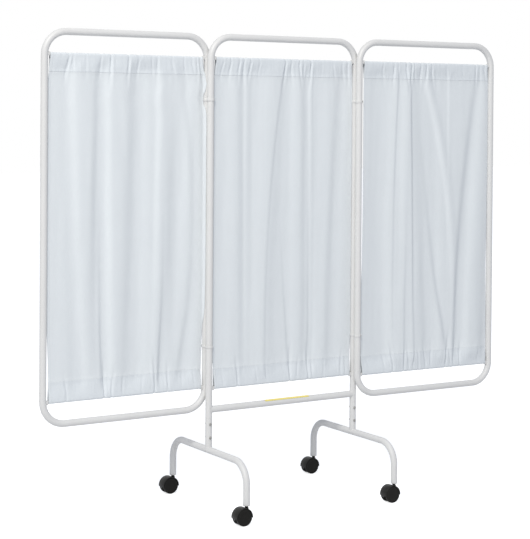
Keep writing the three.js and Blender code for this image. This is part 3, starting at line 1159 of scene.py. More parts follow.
class SCREEN_OT_hinge_clips(Operator):
    """Add the clips round the posts and their rivets"""

    bl_idname = "screen.hinge_clips"
    bl_label = "Hinge clips"

    def execute(self, context):
        for side in SIDES:
            for place in ("upper", "lower"):
                self.add_clip(side, place)
                self.add_rivet(side, place)
        return {"FINISHED"}

    def add_clip(self, side, place):
        node = f"hinge_clip_{side}_{place}"
        low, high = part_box(node)
        bore = tube_radius() + CLIP_PLAY
        outer = bore + 0.0015
        first = level(joint_place(f"{side}_clips_round_post")) + UP * low.z
        second = level(joint_place(f"{side}_wing_fold")) + UP * low.z
        pitch = (second - first).length
        neck = 0.005
        reach = math.asin(neck / outer)
        steps = 40
        bm = bmesh.new()
        verts = []
        for centre, start in ((0, reach - math.pi / 2), (pitch, reach + math.pi / 2)):
            for step in range(steps + 1):
                turn = start + (2 * math.pi - 2 * reach) * step / steps
                point = (outer * math.cos(turn), outer * math.sin(turn) - centre, 0)
                verts.append(bm.verts.new(point))
        loop = [bm.edges.new(pair) for pair in zip(verts, verts[1:] + verts[:1])]
        holes = ring(bm, Vector((0, 0, 0)), UP, bore, steps)
        holes += ring(bm, Vector((0, -pitch, 0)), UP, bore, steps)
        bmesh.ops.triangle_fill(bm, use_beauty=True, edges=loop + holes)
        thickened(bm, UP * (high.z - low.z), 0.0004)
        towards = first - second
        bm.transform(turned_to(Vector((towards.y, -towards.x, 0)), first))
        name = f"Hinge_clip_{side}_{place}"
        add_piece(name, into_mesh(name, bm), "frame_paint", f"{side}_hinge", node)

    def add_rivet(self, side, place):
        node = f"clip_rivet_{side}_{place}"
        middle = middle_of(node)
        post = level(joint_place(f"{side}_wing_fold")) + UP * middle.z
        away = (middle - post).normalized()
        seat = tube_radius() + CLIP_PLAY
        shank = 0.0013
        head = 0.0025
        face = 0.0018
        rim = face + 0.0003
        dome = 0.0010
        profile = [(0, 0), (shank, 0), (shank, face), (head, face), (head, rim)]
        for turn in (0.35, 0.7, 1.05, 1.35):
            profile.append((head * math.cos(turn), rim + dome * math.sin(turn)))
        profile.append((0, rim + dome))
        bm = lathe(profile, away, post + away * seat, 28)
        name = f"Rivet_{side}_{place}"
        add_piece(name, into_mesh(name, bm), "dark_steel", f"{side}_hinge", node)


# The rods and curtains


class SCREEN_OT_rods(Operator):
    """Add the six curtain rods"""

    bl_idname = "screen.rods"
    bl_label = "Curtain rods"

    def execute(self, context):
        for panel in panel_places():
            for place in ("top", "bottom"):
                node = f"curtain_rod_{panel.name}_{place}"
                low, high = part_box(node)
                span = high - low
                radius = span.z / 2
                reach = level(span).length / 2 - 0.0001
                end = 0.0008
                profile = [(0, -reach), (radius - end, -reach), (radius, end - reach)]
                profile += [(radius, reach - end), (radius - end, reach), (0, reach)]
                bm = lathe(profile, ACROSS, UP * middle_of(node).z, 20)
                bm.transform(panel.matrix)
                name = f"Rod_{panel.name}_{place}"
                add_piece(name, into_mesh(name, bm), "rod_paint", panel.body, node)
        return {"FINISHED"}


class ClothPath(NamedTuple):
    """The pockets' radius, the rods' heights, and distances along the cloth from its top hem."""

    pocket: float
    top_rod: float
    bottom_rod: float
    top_stitch: float
    bottom_stitch: float
    length: float


def cloth_path():
    """The way of the cloth round both rods, with the stitching's places along it."""
    pocket = 0.0042
    top = middle_of("curtain_rod_centre_top").z
    bottom = middle_of("curtain_rod_centre_bottom").z
    turn = math.pi * pocket
    rise = sizes().top_hem + turn
    front = rise + top - bottom
    return ClothPath(
        pocket=pocket,
        top_rod=top,
        bottom_rod=bottom,
        top_stitch=rise + sizes().top_hem,
        bottom_stitch=front - sizes().bottom_hem,
        length=front + turn + sizes().bottom_hem,
    )


class Fold(NamedTuple):
    """A flank of a fold: its place across the cloth at three heights, its breadth, and how much
    it faces left at the same heights."""

    top: float
    middle: float
    bottom: float
    breadth: float
    lit_top: float
    lit_middle: float
    lit_bottom: float


LEFT_FOLDS = (
    Fold(0.15, 0.18, 0.245, 0.03, 1.16, 0.95, 0.57),
    Fold(0.14, 0.14, 0.145, 0.026, 0, 0, -0.69),
    Fold(0.305, 0.28, 0.29, 0.026, -1.05, -1.05, -0.23),
    Fold(0.31, 0.32, 0.342, 0.011, 0, -0.32, -3.29),
    Fold(0.365, 0.377, 0.397, 0.026, 0.95, 1.58, 1.38),
    Fold(0.53, 0.5, 0.48, 0.044, -0.84, -0.95, -0.8),
    Fold(0.61, 0.6, 0.615, 0.04, 0.32, 0.53, 0.69),
    Fold(0.7, 0.68, 0.66, 0.021, 1.16, 1.26, 0),
    Fold(0.72, 0.72, 0.706, 0.013, -0.21, -0.42, -2.83),
    Fold(0.76, 0.765, 0.75, 0.042, 0.11, -0.84, 0),
    Fold(0.78, 0.76, 0.76, 0.024, 0.21, 0, 1.03),
    Fold(0.9, 0.85, 0.8, 0.034, 0.42, 0.63, 0),
    Fold(0.83, 0.915, 0.825, 0.02, -0.53, -0.63, -1.03),
    Fold(0.92, 0.95, 0.91, 0.04, 0.11, 0.21, 0.69),
    Fold(0.972, 0.98, 0.985, 0.016, -1.37, -0.42, -0.34),
)
CENTRE_FOLDS = (
    Fold(0.03, 0.03, 0.02, 0.03, -0.45, -0.17, -0.07),
    Fold(0.11, 0.1, 0.1, 0.042, 0.34, 0.41, 0.41),
    Fold(0.183, 0.19, 0.195, 0.022, -0.67, -0.64, -0.61),
    Fold(0.22, 0.22, 0.235, 0.01, 0.78, 0.46, 0.09),
    Fold(0.253, 0.255, 0.26, 0.018, -0.56, -0.29, 0),
    Fold(0.37, 0.31, 0.3, 0.052, 0.34, 0.41, 0.41),
    Fold(0.505, 0.385, 0.372, 0.01, -1.06, -0.81, -0.44),
    Fold(0.515, 0.425, 0.415, 0.038, -0.28, -0.52, -0.48),
    Fold(0.567, 0.56, 0.57, 0.034, 0.56, 0.41, 0.48),
    Fold(0.4, 0.47, 0.545, 0.01, 0, -0.12, -1.77),
    Fold(0.633, 0.64, 0.64, 0.023, -0.84, -0.7, -0.48),
    Fold(0.36, 0.36, 0.36, 0.009, 0, 0, -0.79),
    Fold(0.675, 0.69, 0.7, 0.011, 0.95, 0.52, 0.18),
    Fold(0.7, 0.71, 0.71, 0.01, -0.56, -0.23, 0),
    Fold(0.685, 0.68, 0.685, 0.009, -0.11, -0.17, -2.12),
    Fold(0.73, 0.73, 0.727, 0.018, 0, 0.06, 0.75),
    Fold(0.79, 0.765, 0.76, 0.05, 0.28, 0.35, 0.41),
    Fold(0.91, 0.84, 0.822, 0.028, -0.62, -0.64, -0.68),
    Fold(0.965, 0.92, 0.915, 0.04, 0.28, 0.35, 0.41),
)
RIGHT_FOLDS = (
    Fold(0.07, 0.07, 0.06, 0.055, -0.4, -0.44, -0.38),
    Fold(0.23, 0.2, 0.23, 0.045, 0.47, 0.7, 0.88),
    Fold(0.28, 0.24, 0.25, 0.008, -1.33, -1.06, 0),
    Fold(0.325, 0.3, 0.31, 0.03, 0.59, 0.7, 0.5),
    Fold(0.368, 0.385, 0.41, 0.009, -2.12, -2.47, -2.29),
    Fold(0.335, 0.335, 0.325, 0.009, 0, -0.26, -3.28),
    Fold(0.36, 0.37, 0.385, 0.018, 0, 0.09, 1.26),
    Fold(0.41, 0.45, 0.49, 0.038, -0.47, -0.7, -1.13),
    Fold(0.45, 0.68, 0.697, 0.018, 1.19, 0.88, 1.76),
    Fold(0.5, 0.72, 0.72, 0.024, -0.66, -0.35, 0),
    Fold(0.4, 0.52, 0.68, 0.018, 0, -0.7, -2.77),
    Fold(0.58, 0.6, 0.6, 0.038, 0.14, 0.44, 0.76),
    Fold(0.675, 0.675, 0.69, 0.01, 0.86, 0.35, 0),
    Fold(0.79, 0.7, 0.62, 0.05, 0.26, 0, 0),
    Fold(0.92, 0.78, 0.725, 0.026, -0.8, -1.25, -2.8),
    Fold(0.955, 0.87, 0.83, 0.036, 0.59, 0.79, 1.13),
    Fold(1, 0.97, 0.945, 0.045, -0.2, -0.75, -2.1),
    Fold(0.985, 0.99, 0.99, 0.01, -0.8, -0.26, 0),
)


class Gathers(NamedTuple):
    """Where pleats run into the hems, across the cloth, each with its depth."""

    top: tuple
    bottom: tuple


LEFT_GATHERS = Gathers(
    top=(
        (0.115, 1.0), (0.145, 0.5), (0.225, 0.3), (0.32, 0.6), (0.385, 1.3), (0.50, 1.1),
        (0.565, 0.7), (0.655, 0.5), (0.69, 0.8), (0.79, 0.4), (0.87, 0.5), (0.925, 0.5),
        (0.955, 0.8), (0.98, 1.0),
    ),
    bottom=(
        (0.11, 0.6), (0.355, 1.4), (0.403, 0.9), (0.47, 0.5), (0.60, 0.4), (0.685, 1.4),
        (0.775, 0.9), (0.87, 0.3), (0.95, 0.3),
    ),
)
CENTRE_GATHERS = Gathers(
    top=(
        (0.05, 0.5), (0.105, 0.7), (0.165, 0.8), (0.20, 0.9), (0.245, 0.8), (0.31, 0.4),
        (0.50, 1.1), (0.545, 0.7), (0.605, 1.1), (0.635, 0.6), (0.69, 1.3), (0.77, 0.3),
        (0.86, 0.4), (0.93, 0.6), (0.97, 0.9),
    ),
    bottom=(
        (0.06, 0.3), (0.165, 1.0), (0.30, 0.3), (0.37, 0.4), (0.548, 1.4), (0.60, 0.6),
        (0.684, 1.4), (0.715, 0.6), (0.80, 0.4), (0.93, 0.6), (0.965, 0.5),
    ),
)
RIGHT_GATHERS = Gathers(
    top=(
        (0.15, 0.6), (0.235, 0.8), (0.27, 0.5), (0.335, 1.1), (0.375, 1.5), (0.40, 0.6),
        (0.45, 0.8), (0.495, 1.0), (0.54, 0.8), (0.66, 0.4), (0.79, 0.2), (0.90, 0.8),
        (0.935, 0.5), (0.975, 0.7),
    ),
    bottom=(
        (0.05, 0.3), (0.175, 0.4), (0.24, 1.0), (0.33, 1.0), (0.365, 0.8), (0.405, 0.8),
        (0.445, 0.7), (0.50, 0.8), (0.545, 0.7), (0.668, 1.5), (0.70, 0.7), (0.735, 0.8),
        (0.785, 0.9), (0.93, 0.3),
    ),
)


class Drape(NamedTuple):
    """How one curtain hangs. The edges are pairs of a height share and how far the cloth stays
    clear of the post there, or laps over its front where that is less than nothing."""

    folds: tuple
    gathers: Gathers
    left_edge: tuple
    right_edge: tuple
    seed: float


BRACKET_ROOM = 0.0074
EDGE_ROOM = 0.0007
EDGE_LAP = -0.0058
CLIP_ROOM = 0.0026


def side_edge(*stops):
    """A curtain's edge between the brackets of its rods, which it stays clear of."""
    low = ((0, BRACKET_ROOM), (0.010, BRACKET_ROOM))
    high = ((0.990, BRACKET_ROOM), (1, BRACKET_ROOM))
    return low + stops + high


DRAPES = {
    "left": Drape(
        LEFT_FOLDS,
        LEFT_GATHERS,
        side_edge(
            (0.05, 0.0075),
            (0.13, 0.0050),
            (0.20, 0.0012),
            (0.26, EDGE_ROOM),
            (0.93, EDGE_ROOM),
            (0.965, 0.0050),
        ),
        side_edge(
            (0.06, 0.0068),
            (0.13, 0.0045),
            (0.19, EDGE_ROOM),
            (0.25, -0.0040),
            (0.35, EDGE_LAP),
            (0.83, EDGE_LAP),
            (0.85, -0.0020),
            (0.865, CLIP_ROOM),
            (0.885, CLIP_ROOM),
            (0.90, -0.0020),
            (0.92, EDGE_LAP),
            (0.945, -0.0020),
            (0.96, EDGE_ROOM),
            (0.975, 0.0040),
        ),
        3.7,
    ),
    "centre": Drape(
        CENTRE_FOLDS,
        CENTRE_GATHERS,
        side_edge((0.05, 0.0045), (0.09, EDGE_ROOM), (0.92, EDGE_ROOM), (0.96, 0.0030)),
        side_edge((0.05, 0.0065), (0.10, 0.0030), (0.16, EDGE_ROOM), (0.95, EDGE_ROOM)),
        11.3,
    ),
    "right": Drape(
        RIGHT_FOLDS,
        RIGHT_GATHERS,
        side_edge(
            (0.04, 0.0030),
            (0.20, EDGE_ROOM),
            (0.27, 0.0020),
            (0.36, 0.0055),
            (0.55, 0.0072),
            (0.96, 0.0072),
        ),
        side_edge(
            (0.05, 0.0050),
            (0.12, 0.0025),
            (0.20, 0.0035),
            (0.33, 0.0055),
            (0.45, 0.0035),
            (0.58, 0.0030),
            (0.68, EDGE_ROOM),
            (0.95, EDGE_ROOM),
        ),
        23.9,
    ),
}


def through(share, bottom, middle, top):
    """A smooth value along a height through three given ones."""
    return (
        2 * (share - 0.5) * (share - 1) * bottom
        - 4 * share * (share - 1) * middle
        + 2 * share * (share - 0.5) * top
    )


def swell(distance, reach):
    """Goes smoothly from 0 to 1 over a reach."""
    share = min(1, max(0, distance / reach))
    return share * share * (3 - 2 * share)


def hump(away):
    """A round hump of height 1 over a width of about 2."""
    return np.exp(-(away**2))


COLUMNS = 256
SHARES_ACROSS = np.linspace(0, 1, COLUMNS + 1)


def fold_heights(drape, share, width):
    """How far the folds come forward at each column, at one height of the cloth."""
    slope = np.zeros(COLUMNS + 1)
    for fold in drape.folds:
        place = through(share, fold.bottom, fold.middle, fold.top)
        lit = through(share, fold.lit_bottom, fold.lit_middle, fold.lit_top)
        slope += lit * hump((SHARES_ACROSS - place) / fold.breadth)
    height = np.cumsum(slope) * width / COLUMNS * sizes().fold_steepness
    height -= height[0] + (height[-1] - height[0]) * SHARES_ACROSS
    evened = 0.7
    reach = COLUMNS // 3
    padded = np.pad(height, reach, mode="reflect", reflect_type="odd")
    window = np.hanning(2 * reach + 1)
    smooth = np.convolve(padded, window / window.sum(), mode="valid")
    height = height - evened * smooth
    depth = sizes().fold_depth
    return depth * np.tanh(height / depth)


def pocket_slack(gathers):
    """How loose the pocket is at each column: none in a pleat and most between pleats."""
    breadth = 0.0065
    tightest = 1.2
    tight = np.zeros(COLUMNS + 1)
    for place, depth in gathers:
        tight += depth * hump((SHARES_ACROSS - place) / breadth)
    return 1 - np.minimum(tightest, tight)


def pleat_heights(gathers, reach, hem, ridge):
    """How far the hem's pleats come forward at each column, at a distance from the rod. They fan
    out from the rod and run out past the stitching. Each has a ridge on one side of its crease."""
    start = swell(reach - 0.003, 0.016)
    most_lean = 0.25
    narrowest = 0.0055
    widening = 0.055
    ridge_share = 0.45
    height = np.zeros(COLUMNS + 1)
    for place, depth in gathers:
        run = 1 - swell(reach - 0.7 * hem, (0.3 + depth) * hem)
        lean = most_lean * math.sin(97 * place)
        line = place + lean * (reach - hem / 2)
        breadth = narrowest + widening * reach
        away = (SHARES_ACROSS - line) / breadth
        height += depth * run * (ridge_share * hump(away - ridge) - hump(away))
    return height * start * sizes().pleat_depth


class ClothRow(NamedTuple):
    """One row of the cloth: its height, its turn round the rods (none or full behind them, half
    in front) and its distance along the path."""

    height: float
    angle: float
    along: float


def cloth_rows():
    """The rows from the top hem, which hangs behind, over the top rod, down the front and round
    the bottom rod to the bottom hem. Rows are closer in the hems and round the rods."""
    path = cloth_path()
    top_hem = sizes().top_hem
    bottom_hem = sizes().bottom_hem
    turn = math.pi * path.pocket
    hem_rows = 20
    turn_rows = 8
    body_rows = 84
    hem_shares = [step / hem_rows for step in range(hem_rows)]
    turn_shares = [step / turn_rows for step in range(turn_rows)]
    rows = []
    for share in hem_shares:
        rows.append(ClothRow(path.top_rod - top_hem * (1 - share), 0, top_hem * share))
    for share in turn_shares:
        rows.append(ClothRow(path.top_rod, math.pi * share, top_hem + turn * share))
    start = top_hem + turn
    drop = path.top_rod - path.bottom_rod
    past_stitching = 1.15
    upper = past_stitching * top_hem
    lower = past_stitching * bottom_hem
    body = drop - upper - lower
    stops = [upper * share for share in hem_shares]
    stops += [upper + body * step / body_rows for step in range(body_rows)]
    stops += [drop - lower * (1 - share) for share in hem_shares]
    for stop in stops:
        rows.append(ClothRow(path.top_rod - stop, math.pi, start + stop))
    start += drop
    for share in turn_shares:
        rows.append(ClothRow(path.bottom_rod, math.pi * (1 + share), start + turn * share))
    start += turn
    for share in (*hem_shares, 1):
        height = path.bottom_rod + bottom_hem * share
        rows.append(ClothRow(height, 2 * math.pi, start + bottom_hem * share))
    return rows


def read_table(table, share):
    places, values = zip(*table)
    return float(np.interp(share, places, values))


def ripples(drape, across, share, height, crumpled):
    """Low waves all over the cloth, and finer ones where it is crumpled."""
    broad = Vector((across * 9 + drape.seed, share * 2.2, drape.seed))
    fine = Vector((across * 34 + drape.seed, height * 30, drape.seed))
    waves = noise.noise(broad) * 0.0011 + noise.noise(broad * 2.7) * 0.0005
    return waves + noise.noise(fine) * 0.0009 * crumpled


def cloth_row(drape, row, path, half_width):
    """The points of one row of a curtain's cloth."""
    held = 0.05
    looseness = 0.0018
    looseness_reach = 0.05
    hem_gap = 0.0005
    narrowing = 0.03
    lap_gap = 0.0009
    lap_lead = 0.014
    drop = path.top_rod - path.bottom_rod
    share = (row.height - path.bottom_rod) / drop
    upper = share > 0.5
    hem = sizes().top_hem if upper else sizes().bottom_hem
    gathers = drape.gathers.top if upper else drape.gathers.bottom
    ridge = 1.6 if upper else -1.4
    reach = min(path.top_rod - row.height, row.height - path.bottom_rod)
    free = held + (1 - held) * swell(reach - 0.004, 0.8 * hem)
    heights = fold_heights(drape, share, 2 * half_width) * free
    heights += pleat_heights(gathers, reach, hem, ridge)
    slack = pocket_slack(gathers) * looseness * math.exp(-((reach / looseness_reach) ** 2))
    closed = swell(reach, hem)
    narrowed = 1 - swell(reach - hem, narrowing)
    crumpled = 1 - swell(reach - hem, hem)
    low_x = read_table(drape.left_edge, share) - half_width
    right_room = read_table(drape.right_edge, share)
    high_x = half_width - right_room
    lapped = swell(EDGE_ROOM - right_room, EDGE_ROOM)
    post = half_width + tube_radius()
    clear = tube_radius() + lap_gap
    out = math.cos(row.angle)
    lift = math.sin(row.angle)
    for column, across in enumerate(SHARES_ACROSS):
        radius = path.pocket * (1 - closed) + hem_gap * closed + slack[column]
        radius *= narrowed
        waves = ripples(drape, across, share, row.height, crumpled)
        forward = heights[column] + waves * free
        x = low_x + (high_x - low_x) * across
        if lapped > 0:
            front = math.sqrt(max(0, clear**2 - (post - x) ** 2))
            near = swell(x - half_width + lap_lead, lap_lead) * lapped
            forward += max(0, front - forward) * near
        yield Vector((x, radius * out - forward, row.height + radius * lift))


def curtain_mesh(name, drape, half_width):
    """The cloth as one sheet, led round both rods and folded."""
    path = cloth_path()
    rows = cloth_rows()
    bm = bmesh.new()
    bmesh.ops.create_grid(bm, x_segments=COLUMNS, y_segments=len(rows) - 1, size=1)
    bm.verts.ensure_lookup_table()
    chart = bm.loops.layers.uv.new("Cloth")
    spots = {}
    for index, row in enumerate(rows):
        start = index * (COLUMNS + 1)
        for column, place in enumerate(cloth_row(drape, row, path, half_width)):
            vert = bm.verts[start + column]
            vert.co = place
            spots[vert] = (SHARES_ACROSS[column] * sizes().flat_width, row.along)
    for face in bm.faces:
        face.smooth = True
        for loop in face.loops:
            loop[chart].uv = spots[loop.vert]
    mesh = bpy.data.meshes.new(name)
    bm.to_mesh(mesh)
    bm.free()
    return mesh


class SCREEN_OT_curtains(Operator):
    """Add the three gathered curtains on their rods"""

    bl_idname = "screen.curtains"
    bl_label = "Curtains"

    def execute(self, context):
        path = cloth_path()
        for panel in panel_places():
            name = f"Curtain_{panel.name}"
            half_width = (panel.spacing - sizes().tube_diameter) / 2
            mesh = curtain_mesh(name, DRAPES[panel.name], half_width)
            mesh.transform(panel.matrix)
            piece = add_piece(name, mesh, "curtain_cloth", panel.body, f"curtain_{panel.name}")
            wall = piece.modifiers.new("Cloth wall", "SOLIDIFY")
            wall.thickness = sizes().cloth_thickness
            wall.offset = 0
        return {"FINISHED"}


# The casters

HOOD_BORE = 0.0317
HOOD_OUTER = 0.0331
HOOD_HALF = 0.020
HOOD_TOP = 0.0600
STEM_BORE = 0.0043
AXLE_BORE = 0.0028


class CasterPlace(NamedTuple):
    """A caster, the middle of its axle in its own place, and that place."""

    name: str
    axle: Vector
    matrix: Matrix


def caster_places():
    """The four casters. Each matrix has its origin on the floor under the stem, X away from the
    wheels."""
    places = []
    for name in CASTERS:
        stem = level(joint_place(f"caster_{name}_swivel"))
        near = joint_place(f"wheel_{name}_front_spin")
        far = joint_place(f"wheel_{name}_rear_spin")
        axle = (near + far) / 2
        matrix = turned_to(stem - level(axle), stem)
        places.append(CasterPlace(name, matrix.inverted() @ axle, matrix))
    return places


def hood_cover(axle):
    """The round cover over both wheels, a little past half a turn."""
    edge = HOOD_OUTER - 0.0007
    shoulder = HOOD_OUTER - 0.0002
    section = [(-HOOD_HALF, HOOD_BORE), (-HOOD_HALF, edge), (0.0005 - HOOD_HALF, shoulder)]
    section += [(0.0011 - HOOD_HALF, HOOD_OUTER), (HOOD_HALF - 0.0011, HOOD_OUTER)]
    section += [(HOOD_HALF - 0.0005, shoulder), (HOOD_HALF, edge), (HOOD_HALF, HOOD_BORE)]
    lip = math.radians(5)
    start = Matrix.Rotation(lip, 3, "Y") @ ACROSS
    bm = bmesh.new()
    verts = [bm.verts.new(axle + BACK * y + start * radius) for y, radius in section]
    edges = [bm.edges.new(pair) for pair in zip(verts, verts[1:] + verts[:1])]
    bmesh.ops.spin(
        bm,
        geom=verts + edges,
        cent=axle,
        axis=-BACK,
        angle=math.pi + 2 * lip,
        steps=40,
        use_duplicate=False,
    )
    bmesh.ops.holes_fill(bm, edges=bm.edges[:], sides=0)
    return into_mesh("cover", bm)


def hood_web(axle):
    """The flat web between the wheels, cut off level under the axle."""
    half = 0.006
    rooted = 0.0007
    below = 0.009
    bm = bmesh.new()
    turn = Matrix.Rotation(math.pi / 2, 4, "X")
    bmesh.ops.create_circle(
        bm,
        cap_ends=True,
        segments=64,
        radius=HOOD_BORE + rooted,
        matrix=Matrix.Translation(axle - BACK * half) @ turn,
    )
    bmesh.ops.bisect_plane(
        bm,
        geom=bm.verts[:] + bm.edges[:] + bm.faces[:],
        plane_co=axle - UP * below,
        plane_no=-UP,
        clear_outer=True,
    )
    thickened(bm, BACK * 2 * half, 0.0006)
    return into_mesh("web", bm)


def hood_mesh(axle):
    """The hood over both wheels, its web between them and the boss for the stem."""
    foot = Vector((0, 0, 0))
    boss = 0.0079
    boss_foot = 0.040
    bore_foot = 0.0377
    collar_room = 0.0072
    above = 0.07
    past_web = 0.01
    chamfer = 0.0005
    profile = [(0, boss_foot), (boss, boss_foot), (boss, HOOD_TOP - 0.0008)]
    profile += [(boss - chamfer, HOOD_TOP), (0, HOOD_TOP)]
    mesh = hood_cover(axle)
    mesh = carved(mesh, hood_web(axle), "UNION")
    mesh = carved(mesh, into_mesh("boss", lathe(profile, UP, foot, 40)), "UNION")
    for cut in (
        round_bar(collar_room, HOOD_TOP, above, UP, foot, 32),
        round_bar(STEM_BORE, bore_foot, above, UP, foot, 24),
        round_bar(AXLE_BORE, -past_web, past_web, BACK, axle, 24),
    ):
        mesh = carved(mesh, into_mesh("cut", cut))
    bm = bmesh.new()
    bm.from_mesh(mesh)
    bmesh.ops.remove_doubles(bm, verts=bm.verts, dist=1e-6)
    return into_mesh("hood", bm, crease=32)


class SCREEN_OT_hoods(Operator):
    """Add the casters' hoods"""

    bl_idname = "screen.hoods"
    bl_label = "Caster hoods"

    def execute(self, context):
        places = caster_places()
        pattern = hood_mesh(places[0].axle)
        for place in places:
            mesh = pattern.copy()
            mesh.transform(place.matrix)
            node = f"caster_hood_{place.name}"
            add_piece(f"Hood_{place.name}", mesh, "hood_plastic", f"caster_{place.name}", node)
        return {"FINISHED"}


def wheel_mesh():
    """A wheel about the origin, its capped face towards +Y."""
    rim = 0.030
    shoulder = 0.0294
    edge = 0.0284
    half = 0.00675
    bore_end = 0.0051
    profile = [(0, 0.0064), (0.0080, 0.0064), (0.0160, 0.0062), (0.0220, 0.0060), (0.0262, 0.0060)]
    profile += [(0.0272, half - 0.0004), (edge, half - 0.0004), (shoulder, half - 0.0011)]
    profile += [(rim, half - 0.0024), (rim, 0), (rim, 0.0024 - half), (shoulder, 0.0011 - half)]
    profile += [(edge, 0.0003 - half), (0.0272, -half), (0.0120, 0.0004 - half)]
    profile += [(0.0060, -half), (AXLE_BORE, -half), (AXLE_BORE, bore_end), (0, bore_end)]
    bm = lathe(profile, BACK, Vector((0, 0, 0)), 64)
    tread = bm.verts.layers.float.new("tread")
    for vert in bm.verts:
        away = math.hypot(vert.co.x, vert.co.z)
        vert[tread] = swell(away - 0.0285, 0.0014)
    return into_mesh("wheel", bm, crease=30)


class SCREEN_OT_wheels(Operator):
    """Add the casters' wheels"""

    bl_idname = "screen.wheels"
    bl_label = "Caster wheels"

    def execute(self, context):
        pattern = wheel_mesh()
        for caster in caster_places():
            for place, facing in (("front", -1), ("rear", 1)):
                name = f"{caster.name}_{place}"
                hub = joint_place(f"wheel_{name}_spin")
                turn = Matrix.Identity(4) if facing > 0 else Matrix.Rotation(math.pi, 4, "Z")
                mesh = pattern.copy()
                mesh.transform(turned_to(caster.matrix.col[0].to_3d(), hub) @ turn)
                node = f"caster_wheel_{name}"
                add_piece(f"Wheel_{name}", mesh, "wheel_plastic", f"wheel_{name}", node)
        return {"FINISHED"}


class SCREEN_OT_stems(Operator):
    """Add the stems and the sockets that they turn in"""

    bl_idname = "screen.stems"
    bl_label = "Stems and sockets"

    def execute(self, context):
        for caster in caster_places():
            place = level(joint_place(f"caster_{caster.name}_swivel"))
            self.add_stem(caster.name, place)
            self.add_socket(caster.name, place)
        return {"FINISHED"}

    def add_stem(self, name, place):
        node = f"caster_stem_{name}"
        low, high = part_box(node)
        pin = 0.004
        collar = 0.006
        edge = 0.0004
        end = 0.0006
        under = HOOD_TOP + 0.0003
        over = 0.0667
        profile = [(0, low.z), (pin - edge, low.z), (pin, low.z + edge), (pin, under)]
        profile += [(collar - edge, under), (collar, under + edge), (collar, over - edge)]
        profile += [(collar - edge, over), (pin, over), (pin, high.z - end)]
        profile += [(pin - end, high.z), (0, high.z)]
        mesh = into_mesh("stem", lathe(profile, UP, place, 32))
        add_piece(f"Stem_{name}", mesh, "stem_steel", "stand", node)

    def add_socket(self, name, place):
        node = f"caster_socket_{name}"
        low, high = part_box(node)
        rim = tube_radius()
        plug = rim - sizes().tube_wall - 0.0003
        flange = low.z + 0.002
        end = 0.0012
        profile = [(STEM_BORE, low.z), (rim - end, low.z), (rim - 0.0004, low.z + 0.0004)]
        profile += [(rim, low.z + end), (rim, flange), (plug, flange)]
        profile += [(plug, high.z - 0.002), (plug - end, high.z), (STEM_BORE, high.z)]
        mesh = into_mesh("socket", lathe(profile, UP, place, 40, closed=True))
        add_piece(f"Socket_{name}", mesh, "socket_plastic", "stand", node)


# The stage


def seen_straight(nodes):
    """1 where the camera sees a thing by itself or mirrored, and 0 where its light falls on
    others."""
    rays = nodes.make("ShaderNodeLightPath")
    kinds = ("Is Camera Ray", "Is Glossy Ray", "Is Transmission Ray")
    camera, mirrored, passed = (Number(nodes, rays.outputs[kind]) for kind in kinds)
    return camera.most(mirrored).most(passed)


def floor_material(name, colour, glow):
    """White to the camera and in reflections, with the object's shadow kept."""
    material = bpy.data.materials.new(name)
    nodes = Nodes(material)
    plain = nodes.make("ShaderNodeBsdfDiffuse", None, {"Color": colour}).outputs[0]
    light = nodes.make("ShaderNodeEmission", None, {"Strength": glow}).outputs[0]
    both = nodes.make("ShaderNodeAddShader", None, {0: plain, 1: light}).outputs[0]
    inputs = {0: seen_straight(nodes), 1: plain, 2: both}
    choice = nodes.make("ShaderNodeMixShader", None, inputs).outputs[0]
    nodes.make("ShaderNodeOutputMaterial", None, {"Surface": choice})
    return material


def set_world(colour, strength):
    """A white room as the camera sees it, and softer light from it for the object."""
    world = bpy.data.worlds.new("Studio")
    bpy.context.scene.world = world
    nodes = Nodes(world)
    seen = nodes.make("ShaderNodeBackground", None, {"Color": (1, 1, 1)}).outputs[0]
    inputs = {"Color": colour, "Strength": strength}
    soft = nodes.make("ShaderNodeBackground", None, inputs).outputs[0]
    inputs = {0: seen_straight(nodes), 1: soft, 2: seen}
    choice = nodes.make("ShaderNodeMixShader", None, inputs).outputs[0]
    nodes.make("ShaderNodeOutputWorld", None, {"Surface": choice})


def set_camera():
    """The camera, at the height and turn that the photograph's lines give."""
    place = Vector((-3.0932, -4.79465, 1.4234))
    yaw = 0.5605
    pitch = -0.0113
    roll = 0.0069
    ahead = Vector(
        (math.sin(yaw) * math.cos(pitch), math.cos(yaw) * math.cos(pitch), math.sin(pitch))
    )
    right = Vector((math.cos(yaw), -math.sin(yaw), 0))
    up = right.cross(ahead)
    turned_right = right * math.cos(roll) + up * math.sin(roll)
    turned_up = up * math.cos(roll) - right * math.sin(roll)
    data = bpy.data.cameras.new("Camera")
    data.sensor_fit = "HORIZONTAL"
    data.sensor_width = 36
    data.lens = 103.475
    data.shift_x = -0.0015
    data.shift_y = -0.2543
    data.clip_end = 100
    camera = bpy.data.objects.new("Camera", data)
    turn = Matrix((turned_right, turned_up, -ahead)).transposed().to_4x4()
    camera.matrix_world = Matrix.Translation(place) @ turn
    bpy.context.scene.collection.objects.link(camera)
    bpy.context.scene.camera = camera


def area_light(name, place, target, width, power, colour):
    """A square light at a place, turned to a target."""
    data = bpy.data.lights.new(name, "AREA")
    data.shape = "RECTANGLE"
    data.size = width
    data.size_y = width
    data.energy = power
    data.color = colour
    light = bpy.data.objects.new(name, data)
    aim = Vector(target) - Vector(place)
    turn = aim.to_track_quat("-Z", "Y").to_matrix().to_4x4()
    light.matrix_world = Matrix.Translation(place) @ turn
    bpy.context.scene.collection.objects.link(light)


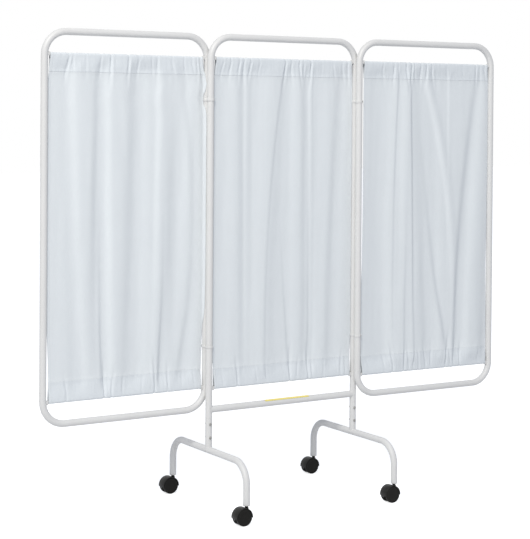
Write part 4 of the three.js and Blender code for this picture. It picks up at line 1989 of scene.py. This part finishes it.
class SCREEN_OT_stage(Operator):
    """Add the floor, the lights and the camera"""

    bl_idname = "screen.stage"
    bl_label = "Stage"

    def execute(self, context):
        bm = bmesh.new()
        bmesh.ops.create_grid(bm, x_segments=1, y_segments=1, size=30)
        floor = bpy.data.objects.new("Floor", into_mesh("Floor", bm))
        white = floor_material("Floor", colour=(0.8, 0.8, 0.8), glow=0.72)
        floor.data.materials.append(white)
        context.scene.collection.objects.link(floor)
        set_world(colour=(0.82, 0.875, 1), strength=0.50)
        area_light(
            "Key",
            place=(-5.0, -5.0, 7.6),
            target=(0, 0, 1.1),
            width=2.8,
            power=625,
            colour=(1, 0.985, 0.94),
        )
        set_camera()
        context.scene.view_settings.view_transform = "Standard"
        return {"FINISHED"}


class SCREEN_PT_parts(Panel):
    bl_idname = "SCREEN_PT_parts"
    bl_label = "Ward Screen"
    bl_space_type = "VIEW_3D"
    bl_region_type = "UI"
    bl_category = "Screen"

    def draw(self, context):
        column = self.layout.column(align=True)
        for group in (context.scene.screen_sizes, context.scene.screen_finishes):
            for name in group.__annotations__:
                column.prop(group, name)
            column.separator()
        for operator in OPERATORS:
            column.operator(operator.bl_idname)


OPERATORS = (
    SCREEN_OT_centre_frame,
    SCREEN_OT_wing_frames,
    SCREEN_OT_crossbar,
    SCREEN_OT_marker_strip,
    SCREEN_OT_base_arches,
    SCREEN_OT_base_uprights,
    SCREEN_OT_bolts,
    SCREEN_OT_connectors,
    SCREEN_OT_hinge_clips,
    SCREEN_OT_rods,
    SCREEN_OT_curtains,
    SCREEN_OT_hoods,
    SCREEN_OT_wheels,
    SCREEN_OT_stems,
    SCREEN_OT_stage,
)
CLASSES = (ScreenSizes, ScreenFinishes, *OPERATORS, SCREEN_PT_parts)


def register():
    for kind in CLASSES:
        bpy.utils.register_class(kind)
    bpy.types.Scene.screen_sizes = PointerProperty(type=ScreenSizes)
    bpy.types.Scene.screen_finishes = PointerProperty(type=ScreenFinishes)


def unregister():
    del bpy.types.Scene.screen_sizes
    del bpy.types.Scene.screen_finishes
    for kind in reversed(CLASSES):
        bpy.utils.unregister_class(kind)


def main():
    register()
    bpy.ops.screen.centre_frame()
    bpy.ops.screen.wing_frames()
    bpy.ops.screen.crossbar()
    bpy.ops.screen.marker_strip()
    bpy.ops.screen.base_arches()
    bpy.ops.screen.base_uprights()
    bpy.ops.screen.bolts()
    bpy.ops.screen.connectors()
    bpy.ops.screen.hinge_clips()
    bpy.ops.screen.rods()
    bpy.ops.screen.curtains()
    bpy.ops.screen.hoods()
    bpy.ops.screen.wheels()
    bpy.ops.screen.stems()
    bpy.ops.screen.stage()


if __name__ == "__main__":
    main()
